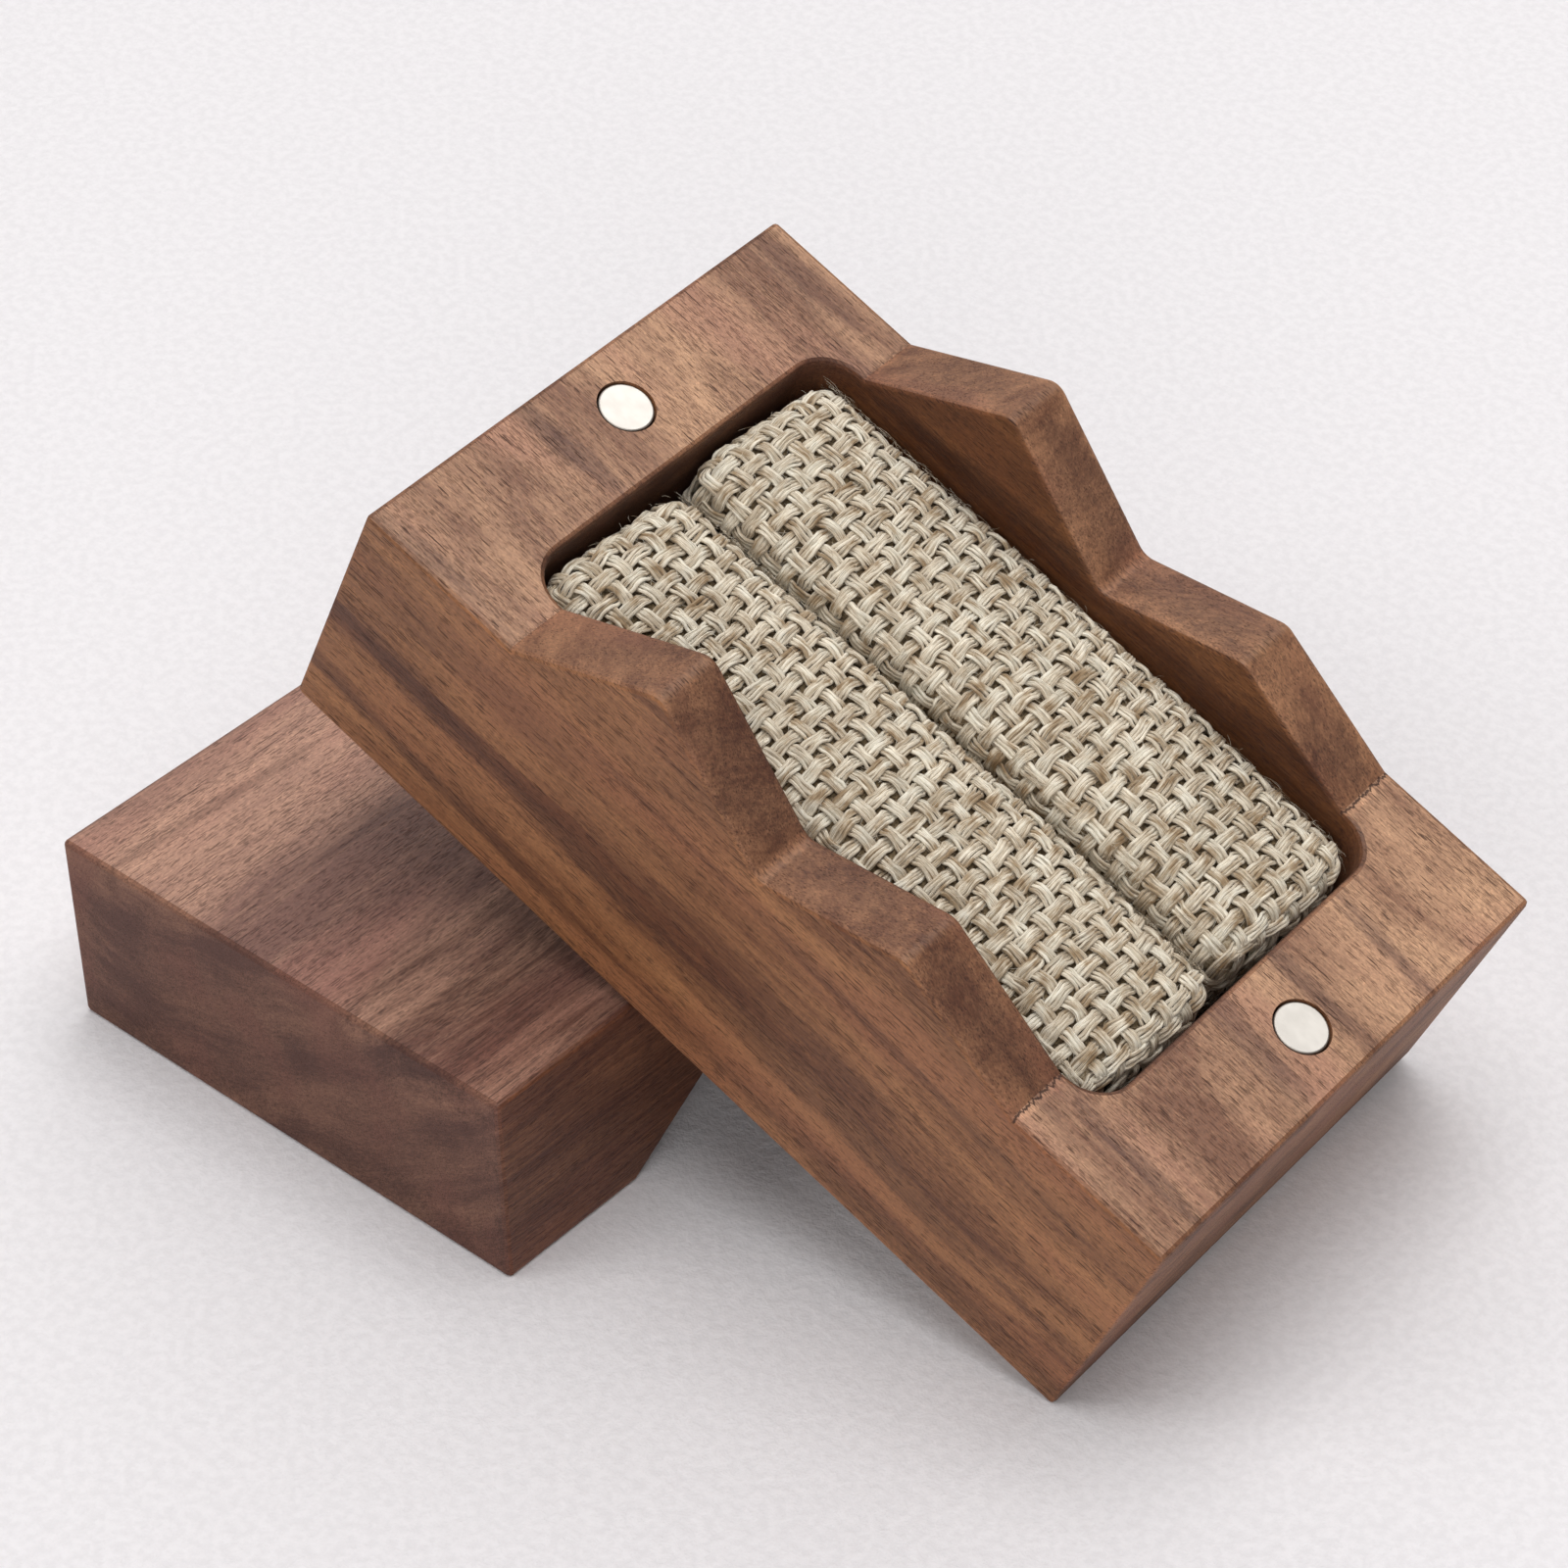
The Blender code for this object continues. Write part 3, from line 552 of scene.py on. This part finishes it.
CLOTH_HALF_LENGTH = ROLL_HALF_LENGTH - CLOTH_DEPTH
CLOTH_HALF_WIDTH = ROLL_HALF_WIDTH - CLOTH_DEPTH
CLOTH_SHOULDER = ROLL_HEIGHT - CROWN_RISE
CLOTH_RISE = CROWN_RISE - CLOTH_DEPTH
CLOTH_STRAIGHT = CLOTH_HALF_LENGTH - ROLL_END_ROUNDING


def end_share(x):
    """How far x lies into a roll's rounded end: 0 along the straight part, 1 at the end."""
    return np.maximum(np.abs(x) - CLOTH_STRAIGHT, 0) / ROLL_END_ROUNDING


def crown_share(x, y, squareness):
    """How far a crown point lies from the roll's middle line to its edge, from 0 to 1."""
    return (end_share(x) ** squareness + (np.abs(y) / CLOTH_HALF_WIDTH) ** squareness) ** (1 / squareness)


def crown_level(share):
    rest = np.maximum(1 - np.minimum(share, 1) ** CROWN_FULLNESS, 0)
    return CLOTH_SHOULDER + CLOTH_RISE * rest ** (1 / CROWN_FULLNESS)


# The crown's profile: how far along the cloth each share lies from the edge.
PROFILE_SHARES = np.sin(np.linspace(0, math.pi / 2, 400))
_steps = np.hypot(np.diff(PROFILE_SHARES * CLOTH_HALF_WIDTH), np.diff(crown_level(PROFILE_SHARES)))
PROFILE_REACH = np.append(np.cumsum(_steps[::-1])[::-1], 0.0)


def reach_of(share):
    return np.interp(share, PROFILE_SHARES, PROFILE_REACH)


def share_of(reach):
    return np.interp(reach, PROFILE_REACH[::-1], PROFILE_SHARES[::-1])


def cloth_surface(x, y, fall):
    """Points and normals of the cloth's middle surface. fall is how far a point lies below the shoulder."""
    share = np.clip(crown_share(x, y, PLAN_SQUARENESS), 1e-6, 1)
    level = np.where(fall > 0, CLOTH_SHOULDER - fall, crown_level(share))
    out_x = np.sign(x) * end_share(x) ** (PLAN_SQUARENESS - 1)
    out_y = np.sign(y) * (np.abs(y) / CLOTH_HALF_WIDTH) ** (PLAN_SQUARENESS - 1)
    length = np.maximum(np.hypot(out_x, out_y), 1e-9)
    slope = share ** (CROWN_FULLNESS - PLAN_SQUARENESS) / CLOTH_HALF_WIDTH
    rise = np.clip((level - CLOTH_SHOULDER) / CLOTH_RISE, 0, 1) ** (CROWN_FULLNESS - 1) / CLOTH_RISE
    on_side = fall > 0
    normal = np.stack([np.where(on_side, out_x / length, out_x * slope), np.where(on_side, out_y / length, out_y * slope),
                       np.where(on_side, 0, rise)], -1)
    normal /= np.maximum(np.linalg.norm(normal, axis=-1, keepdims=True), 1e-9)
    down = np.clip((CLOTH_SHOULDER - fall) / CLOTH_SHOULDER, 0, 1)
    inset = np.where(on_side, ROLL_DRAW_IN * (1 - np.sin(down * math.pi / 2)), 0)
    point = np.stack([x - inset * out_x / length, y - inset * out_y / length, level], -1)
    return point, normal


def ring_measure(x, y, fall):
    """What is the same all along a ring yarn: its reach from the edge, sagging a little at the corners."""
    return reach_of(crown_share(x, y, RING_SQUARENESS)) * np.exp(-fall / CORNER_SAG_REACH) - fall


class Path:
    """A line on the cloth, finely stepped where it can be seen: x, y and fall, and the distance along it."""

    def __init__(self, x, y, fall, closed=False):
        point, _ = cloth_surface(x, y, fall)
        lengths = np.linalg.norm(np.diff(point, axis=0), axis=1)
        along = np.append(0, np.cumsum(lengths))
        step = np.where(fall[1:] > HIDDEN_BELOW, HIDDEN_YARN_STEP, YARN_STEP)
        steps = np.append(0, np.cumsum(lengths / step))
        count = max(int(steps[-1]), 8)
        self.along = np.interp(np.linspace(0, steps[-1], count + 1), steps, along)
        self.x, self.y, self.fall = (np.interp(self.along, along, v) for v in (x, y, fall))
        self.closed = closed
        self.crossings = []

    def cross(self, place, over):
        self.crossings.append((float(place), 1.0 if over else -1.0))


def side_falls(count=40):
    return np.linspace(0, CLOTH_SHOULDER - 0.45, count)[1:]


def bent_path(reaches, line):
    """A path that goes up one side, over the crown and down the other side. reaches are its two edges."""
    swing = np.sin(np.linspace(-math.pi / 2, math.pi / 2, 181))
    swing *= np.where(swing < 0, *reaches)
    falls = side_falls()
    run = np.concatenate([np.full(len(falls), swing[0]), swing, np.full(len(falls), swing[-1])])
    fall = np.concatenate([falls[::-1], np.zeros(len(swing)), falls])
    return line(run, fall)


def across_place(x, y):
    """Where the across yarn that crosses the middle line at x lies at y: the cloth is a little out of square."""
    return x - CLOTH_SKEW * y


def across_path(x):
    reaches = []
    for side in (-1, 1):
        end = end_share(across_place(x, side * CLOTH_HALF_WIDTH))
        reaches.append(CLOTH_HALF_WIDTH * (1 - end ** PLAN_SQUARENESS) ** (1 / PLAN_SQUARENESS))
    return bent_path(reaches, lambda y, fall: Path(across_place(x, y), y, fall))


def along_path(y):
    share = (1 - (abs(y) / CLOTH_HALF_WIDTH) ** PLAN_SQUARENESS) ** (1 / PLAN_SQUARENESS)
    reach = CLOTH_HALF_LENGTH - ROLL_END_ROUNDING * (1 - share)
    return bent_path((reach, reach), lambda x, fall: Path(x, np.full(len(x), float(y)), fall))


def roll_outline():
    """The roll's plan outline at the shoulder, counterclockwise from the middle of its near side."""
    turn = np.linspace(0, math.pi / 2, 60)
    out_x = np.sin(turn) ** (2 / PLAN_SQUARENESS) * ROLL_END_ROUNDING + CLOTH_STRAIGHT
    out_y = np.cos(turn) ** (2 / PLAN_SQUARENESS) * CLOTH_HALF_WIDTH
    run = np.linspace(0, CLOTH_STRAIGHT, 40)[:-1]
    flat = np.full(len(run), CLOTH_HALF_WIDTH)
    quarter_x, quarter_y = np.concatenate([run, out_x]), np.concatenate([flat, out_y])
    half_x = np.concatenate([quarter_x, quarter_x[::-1][1:]])
    half_y = np.concatenate([-quarter_y, quarter_y[::-1][1:]])
    return np.concatenate([half_x, -half_x[1:]]), np.concatenate([half_y, -half_y[1:]])


def ring_path(measure):
    x1, y1 = roll_outline()
    middle = np.clip(x1, -CLOTH_STRAIGHT, CLOTH_STRAIGHT)
    square = crown_share(x1, y1, RING_SQUARENESS)
    edge = reach_of(square)
    share = np.where(measure >= edge, share_of(max(measure, 0)) / square, 1.0)
    fall = np.zeros(len(x1))
    for _ in range(30):
        fall = np.where(measure >= edge, 0, edge * np.exp(-fall / CORNER_SAG_REACH) - measure)
    return Path(middle + share * (x1 - middle), share * y1, fall, closed=True)


def weave_paths():
    """Every yarn's path on a roll, with where it crosses the others and whether it goes over."""
    half_across = CLOTH_HALF_LENGTH - ROLL_END_ROUNDING * (1 - LAST_ACROSS_SHARE)
    across_count = int(round(2 * half_across / ACROSS_PITCH)) + 1
    across_x = np.linspace(-half_across, half_across, across_count)
    profile_y = np.linspace(-1, 1, 801) * CLOTH_HALF_WIDTH * LAST_ALONG_SHARE
    profile_z = crown_level(np.abs(profile_y) / CLOTH_HALF_WIDTH)
    spread = np.append(0, np.cumsum(np.hypot(np.diff(profile_y), np.diff(profile_z))))
    along_count = int(round(spread[-1] / ALONG_PITCH)) + 1
    along_y = np.interp(np.linspace(0, spread[-1], along_count), spread, profile_y)
    start = reach_of(LAST_ACROSS_SHARE)
    ring_count = int((start + CLOTH_SHOULDER - 0.9) / RING_PITCH)
    measures = start - RING_PITCH * np.arange(1, ring_count + 1)
    across = [across_path(x) for x in across_x]
    along = [along_path(y) for y in along_y]
    rings = [ring_path(m) for m in measures]
    for i, path in enumerate(across):
        middle = len(path.along) // 2
        spots = ring_measure(path.x, path.y, path.fall)
        for j, y in enumerate(along_y):
            path.cross(np.interp(y, path.y, path.along), (i + j) % 2 == 0)
        for k, m in enumerate(measures):
            path.cross(np.interp(-m, -spots[middle:], path.along[middle:]), (i + along_count + k) % 2 == 0)
            path.cross(np.interp(m, spots[:middle], path.along[:middle]), (i - 1 - k) % 2 == 0)
    for j, path in enumerate(along):
        middle = len(path.along) // 2
        spots = ring_measure(path.x, path.y, path.fall)
        for i, x in enumerate(across_x):
            path.cross(np.interp(across_place(x, along_y[j]), path.x, path.along), (i + j) % 2 == 1)
        for k, m in enumerate(measures):
            path.cross(np.interp(-m, -spots[middle:], path.along[middle:]), (across_count + k + j) % 2 == 1)
            path.cross(np.interp(m, spots[:middle], path.along[:middle]), (j - 1 - k) % 2 == 1)
    for k, path in enumerate(rings):
        near_right = (path.y < 0) & (path.x > 0) & (path.along < path.along[-1] / 2)
        near_left = (path.y < 0) & (path.x < 0) & (path.along > path.along[-1] / 2)
        far, right, left = path.y > 0, path.x > 0, path.x < 0
        squared = path.x + CLOTH_SKEW * path.y
        for i, x in enumerate(across_x):
            near = near_right if across_place(x, -CLOTH_HALF_WIDTH) > 0 else near_left
            path.cross(np.interp(x, squared[near], path.along[near]), (i - 1 - k) % 2 == 1)
            path.cross(np.interp(-x, -squared[far], path.along[far]), (i + along_count + k) % 2 == 1)
        for j, y in enumerate(along_y):
            path.cross(np.interp(y, path.y[right], path.along[right]), (across_count + k + j) % 2 == 0)
            path.cross(np.interp(-y, -path.y[left], path.along[left]), (j - 1 - k) % 2 == 0)
    return across, along + rings


def crimp(path, flatness):
    """How each yarn rises over and dips under the yarns that it crosses, from -1 to 1."""
    spots = sorted(path.crossings)
    places, signs = np.array([s[0] for s in spots]), np.array([s[1] for s in spots])
    if path.closed:
        full = path.along[-1]
        places = np.concatenate([[places[-1] - full], places, [places[0] + full]])
        signs = np.concatenate([[signs[-1]], signs, [signs[0]]])
    after = np.clip(np.searchsorted(places, path.along), 1, len(places) - 1)
    share = np.clip((path.along - places[after - 1]) / np.maximum(places[after] - places[after - 1], 1e-6), 0, 1)
    swing = np.cos(math.pi * share)
    for _ in range(2):
        swing = (1 - flatness) * swing + flatness * swing * (1.5 - 0.5 * swing ** 2)
    return np.where(signs[after - 1] == signs[after], signs[after - 1], signs[after - 1] * swing)


def drift(random, along, reach, longest):
    """A smooth random line about zero, which closes on itself over the whole length."""
    turns = np.maximum(1, np.round(along[-1] / (longest / np.array([1.0, 1.9, 3.1]))))
    phases = random.uniform(0, 2 * math.pi, 3)
    waves = [size * np.sin(2 * math.pi * turn * along / along[-1] + phase)
             for size, turn, phase in zip((1.0, 0.6, 0.35), turns, phases)]
    return reach * sum(waves) / 1.3


def cloth_drift(point):
    """The whole cloth's small pull out of square."""
    x, y = point[:, 0], point[:, 1]
    return np.stack([0.30 * np.sin(y / 5.5 + 0.6) + 0.16 * np.sin(x / 4.2 + y / 3.1),
                     0.32 * np.sin(x / 12.0 + 1.1) + 0.14 * np.sin(x / 3.6 - y / 4.0), 0 * x], -1)


YARNS = {
    # strands, their spacing, half width, half height, how much the outer ones drop, rise, flatness, spread as it dips
    "across": (4, 0.275, 0.200, 0.175, 0.08, 0.26, 0.75, 0.26),
    "along": (3, 0.37, 0.230, 0.20, 0.06, 0.16, 0.85, 0.24),
}
STRAND_SIDES = 5


def grid_faces(start, rows, columns, closed):
    """Quads over a tube of rings, in rows, each of that many points."""
    grid = start + np.arange(rows * columns).reshape(rows, columns)
    following = np.roll(grid, -1, axis=0)
    if not closed:
        grid, following = grid[:-1], following[:-1]
    return np.stack([grid, following, np.roll(following, -1, 1), np.roll(grid, -1, 1)], -1).reshape(-1, 4).tolist()


class Strands:
    """Gathers tubes into one mesh, with each point's place on its strand and its strand's tone."""

    def __init__(self):
        self.points, self.faces, self.places, self.tones = [], [], [], []
        self.total, self.number = 0, 0

    def add(self, middle, side, up, half_width, half_height, along, tone, sides=STRAND_SIDES, closed=False):
        turn = np.linspace(0, 2 * math.pi, sides + 1)[:-1] + math.pi / 10
        ring = np.stack([np.cos(turn), np.sin(turn)], -1)
        rows = len(middle)
        shell = (middle[:, None] + side[:, None] * (ring[:, :1] * half_width)[None]
                 + up[:, None] * (ring[:, 1:] * half_height)[None])
        self.points.append(shell.reshape(-1, 3))
        self.faces += grid_faces(self.total, rows, sides, closed)
        if not closed:
            self.faces.append(tuple(range(self.total, self.total + sides)))
            self.faces.append(tuple(range(self.total + rows * sides - 1, self.total + (rows - 1) * sides - 1, -1)))
        spot = np.zeros((rows, sides, 3))
        spot[..., 0] = along[:, None]
        spot[..., 1] = ring[None, :, 0] * half_width + 3.7 * self.number
        spot[..., 2] = ring[None, :, 1] * half_height
        self.places.append(spot.reshape(-1, 3))
        self.tones.append(np.full(rows * sides, tone))
        self.total += rows * sides
        self.number += 1

    def make(self, name, material, roll):
        piece = add_piece(name, np.vstack(self.points), self.faces, material, roll)
        place = piece.data.attributes.new("strand_place", "FLOAT_VECTOR", "POINT")
        place.data.foreach_set("vector", np.vstack(self.places).astype(np.float32).ravel())
        tone = piece.data.attributes.new("strand_tone", "FLOAT", "POINT")
        tone.data.foreach_set("value", np.concatenate(self.tones).astype(np.float32))
        return piece


def unit(vectors):
    return vectors / np.maximum(np.linalg.norm(vectors, axis=-1, keepdims=True), 1e-9)


def spin_yarns(paths, kind, random):
    """The strands of all those yarns."""
    count, spacing, half_width, half_height, drop, lift, flatness, spread = YARNS[kind]
    strands = Strands()
    for path in paths:
        point, normal = cloth_surface(path.x, path.y, path.fall)
        point = point + cloth_drift(point)
        wave = crimp(path, flatness)
        centre = point + normal * (lift * wave + drift(random, path.along, 0.05, 5.0))[:, None]
        if path.closed:
            tangent = unit(np.vstack([centre[1:], centre[1:2]]) - np.vstack([centre[-2:-1], centre[:-1]]))
        else:
            tangent = unit(np.gradient(centre, axis=0))
        side = unit(np.cross(tangent, normal))
        up = np.cross(side, tangent)
        width = random.uniform(0.92, 1.08) * (1 + spread * (1 - wave ** 2) + drift(random, path.along, 0.07, 8.0))
        sway = drift(random, path.along, 0.09, 9.0)
        tilt = drift(random, path.along, 0.20, 6.0)
        yarn_tone = random.uniform(0, 1)
        rows = len(centre) - 1 if path.closed else len(centre)
        for number in range(count):
            offset = (number - (count - 1) / 2) * spacing
            across = offset * width + sway + drift(random, path.along, 0.055, 4.5)
            height = tilt * offset + drift(random, path.along, 0.045, 3.5)
            height -= drop * (2 * offset / (count * spacing)) ** 2
            size = random.uniform(0.82, 1.14)
            tone = 0.4 * yarn_tone + 0.6 * random.uniform(0, 1)
            middle = centre + side * across[:, None] + up * height[:, None]
            strands.add(middle[:rows], side[:rows], up[:rows], half_width * size, half_height * size,
                        path.along[:rows], tone, closed=path.closed)
    return strands


# Hairs that stand out of the cloth: how many on a roll, their share near the edges, thickness and lengths.
HAIRS, EDGE_HAIR_SHARE, HAIR_RADIUS, HAIR_LENGTH = 1900, 0.40, 0.013, 0.75


def loosen_fibres(random):
    """Fine curved hairs on the crown of a roll, thickest along its edges."""
    strands = Strands()
    x = random.uniform(-0.985, 0.985, HAIRS) * CLOTH_HALF_LENGTH
    y = random.uniform(-0.985, 0.985, HAIRS) * CLOTH_HALF_WIDTH
    on_edge = random.uniform(0, 1, HAIRS) < EDGE_HAIR_SHARE
    y = np.where(on_edge, np.sign(y) * CLOTH_HALF_WIDTH * random.uniform(0.86, 0.99, HAIRS), y)
    share = crown_share(x, y, PLAN_SQUARENESS)
    y = np.where(share > 0.995, 0.9 * y, y)
    x = np.where(share > 0.995, 0.9 * x, x)
    point, normal = cloth_surface(x, y, np.zeros(HAIRS))
    length = np.clip(HAIR_LENGTH * np.exp(random.normal(0, 0.45, HAIRS)), 0.45, 3.2)
    turn = random.uniform(0, 2 * math.pi, HAIRS)
    flat = np.stack([np.cos(turn), np.sin(turn), np.zeros(HAIRS)], -1)
    ahead = unit(flat - normal * np.sum(flat * normal, -1, keepdims=True))
    aside = np.cross(normal, ahead)
    rise, curl = random.uniform(0.0, 0.40, HAIRS), random.uniform(-0.8, 0.8, HAIRS)
    tone = random.uniform(0.3, 1.0, HAIRS)
    share = np.linspace(0, 1, 5)
    for i in range(HAIRS):
        forward, up = share, rise[i] * share * (1.5 - share)
        middle = point[i] + normal[i] * 0.38 + length[i] * (
            ahead[i] * forward[:, None] + normal[i] * up[:, None] + aside[i] * (curl[i] * share ** 2)[:, None])
        tangent = unit(np.gradient(middle, axis=0))
        side = unit(np.cross(tangent, normal[i]))
        strands.add(middle, side, np.cross(side, tangent), HAIR_RADIUS, HAIR_RADIUS, share * length[i], tone[i],
                    sides=3)
    return strands


def roll_matrix(roll):
    """Roll coordinates in millimetres to the row frame."""
    middle = Vector((ROLL_MIDDLE_ALONG, ROLL_MIDDLES_ACROSS[roll], ROLL_FOOT)) * MM
    return base_frame() @ Matrix.Translation(middle) @ Matrix.Scale(MM, 4)


def add_piece(name, points, faces, material, roll=None, smooth=True):
    """A mesh in the row frame from points in millimetres of a roll."""
    if roll:
        matrix = np.array(roll_matrix(roll))
        points = points @ matrix[:3, :3].T + matrix[:3, 3]
    mesh = bpy.data.meshes.new(name)
    mesh.from_pydata(points.tolist(), [], faces)
    mesh.polygons.foreach_set("use_smooth", [smooth] * len(mesh.polygons))
    mesh.materials.append(material)
    mesh.update()
    piece = bpy.data.objects.new(name, mesh)
    bpy.context.scene.collection.objects.link(piece)
    return piece


def add_stuffing(name, material, roll):
    """The stuffed form inside the weave: a closed, crowned form with drawn-in sides."""
    x1, y1 = roll_outline()
    x1, y1 = x1[:-1], y1[:-1]
    middle = np.clip(x1, -CLOTH_STRAIGHT, CLOTH_STRAIGHT)
    deeper = BACKING_DEPTH - CLOTH_DEPTH
    loops = []
    for fall in np.linspace(CLOTH_SHOULDER - 0.3, 0.4, 12):
        point, normal = cloth_surface(x1, y1, np.full(len(x1), fall))
        loops.append(point - normal * deeper)
    for share in np.cos(np.linspace(0.05, math.pi / 2, 16)):
        point, normal = cloth_surface(middle + share * (x1 - middle), share * y1, np.zeros(len(x1)))
        loops.append(point - normal * deeper)
    count = len(x1)
    grid = np.arange(len(loops) * count).reshape(len(loops), count)
    lower, upper = grid[:-1], grid[1:]
    faces = np.stack([lower, np.roll(lower, -1, 1), np.roll(upper, -1, 1), upper], -1).reshape(-1, 4).tolist()
    faces.append(tuple(grid[0][::-1]))
    piece = add_piece(name, np.vstack(loops), faces, material, roll)
    return piece


def make_cushion():
    linen, backing = make_linen(), make_backing()
    for roll, seed in (("front", 3), ("back", 8)):
        random = np.random.RandomState(seed)
        across, along = weave_paths()
        form = add_stuffing(f"stuffed_roll_{roll}", backing, roll)
        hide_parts(f"foam_core_{roll}")
        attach(form, "cushion")
        for kind, paths in (("across", across), ("along", along)):
            piece = spin_yarns(paths, kind, random).make(f"{kind}_yarns_{roll}", linen, roll)
            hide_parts(f"cushion_cover_{roll}")
            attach(piece, "cushion")
        hairs = loosen_fibres(random).make(f"loose_fibres_{roll}", linen, roll)
        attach(hairs, "cushion")


# The room


def make_floor():
    half = 2.5
    points = np.array([(-half, -half, 0), (half, -half, 0), (half, half, 0), (-half, half, 0)])
    floor = add_piece("floor", points, [(0, 1, 2, 3)], make_floor_finish())


def add_soft_light(name, direction, distance, size, strength, tint=(1, 1, 1)):
    light = bpy.data.lights.new(name, "AREA")
    light.shape, light.size, light.energy, light.color = "DISK", size, strength, tint
    lamp = bpy.data.objects.new(name, light)
    way = Vector(direction).normalized()
    lamp.location = CAMERA_TARGET + way * distance
    lamp.rotation_mode = "QUATERNION"
    lamp.rotation_quaternion = (-way).to_track_quat("-Z", "Y")
    bpy.context.scene.collection.objects.link(lamp)


LIGHTS = {
    "window_back": ((0.05, 0.58, 0.8), 1.6, 1.6, 8.2, (1.0, 0.99, 0.98)),
    "window_left": ((-0.66, 0.56, 0.5), 1.8, 1.8, 8.5, (1.0, 0.99, 0.98)),
    "ceiling": ((0.1, 0.0, 1.0), 1.8, 1.8, 23.5, (1.0, 1.0, 1.0)),
    "front_left": ((-0.6, -0.8, 0.8), 1.8, 1.0, 6.5, (1.0, 0.99, 0.98)),
    "front_right": ((0.75, -0.9, 0.5), 1.8, 1.2, 10.5, (1.0, 1.0, 1.0)),
}
WORLD_STRENGTH = 0.04


def make_room():
    for name, (direction, distance, size, strength, tint) in LIGHTS.items():
        add_soft_light(name, direction, distance, size, strength, tint)
    world = bpy.data.worlds.new("studio")
    world.use_nodes = True
    world.node_tree.nodes["Background"].inputs["Color"].default_value = (1.0, 0.99, 0.985, 1)
    world.node_tree.nodes["Background"].inputs["Strength"].default_value = WORLD_STRENGTH
    bpy.context.scene.world = world
    bpy.context.scene.view_settings.view_transform = "Standard"


def make_camera():
    level = math.cos(CAMERA_ELEVATION)
    back = Vector((math.cos(CAMERA_AZIMUTH) * level, math.sin(CAMERA_AZIMUTH) * level, math.sin(CAMERA_ELEVATION)))
    right = Vector((0, 0, 1)).cross(back).normalized()
    up = back.cross(right)
    turned_right = math.cos(CAMERA_ROLL) * right + math.sin(CAMERA_ROLL) * up
    turned_up = math.cos(CAMERA_ROLL) * up - math.sin(CAMERA_ROLL) * right
    data = bpy.data.cameras.new("camera")
    data.lens, data.sensor_width = LENS, SENSOR
    camera = bpy.data.objects.new("camera", data)
    camera.matrix_world = (Matrix.Translation(CAMERA_TARGET + back * CAMERA_DISTANCE)
                           @ Matrix((turned_right, turned_up, back)).transposed().to_4x4())
    bpy.context.scene.collection.objects.link(camera)
    bpy.context.scene.camera = camera


# Putting it together


def finish_blocks():
    pores = make_pore_group()
    groups = {"streak": make_streak_group(), "walnut": make_walnut_group(pores)}
    base = make_walnut("walnut_base", base_frame(), BASE_STREAKS, groups,
                       (colour(164, 118, 83), colour(99, 61, 40), colour(128, 80, 60), colour(66, 37, 27),
                        colour(50, 26, 18)), (27.0, 0.006), (0.0, 0.0, 0.0), 1.0, lined=True)
    lid = make_walnut("walnut_lid", lid_frame(), LID_STREAKS_AND_SHADOW, groups,
                      (colour(152, 108, 82), colour(98, 62, 48), colour(118, 70, 56), colour(56, 23, 11),
                       colour(48, 26, 22)), (50.0, 0.008), (140.0, 31.0, 57.0), 0.9)
    nickel_base = make_nickel("nickel_plate_base", base_frame())
    nickel_lid = make_nickel("nickel_plate_lid", lid_frame())
    board = make_board()
    for node, material in (("base_block", base), ("lid_block", lid), ("base_magnet_high_end", nickel_base),
                           ("base_magnet_low_end", nickel_base), ("lid_magnet_high_end", nickel_lid),
                           ("lid_magnet_low_end", nickel_lid), ("cushion_board", board)):
        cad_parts[node].data.materials[0] = material


make_camera()
make_room()
make_floor()
finish_blocks()
make_cushion()

bpy.context.view_layer.update()
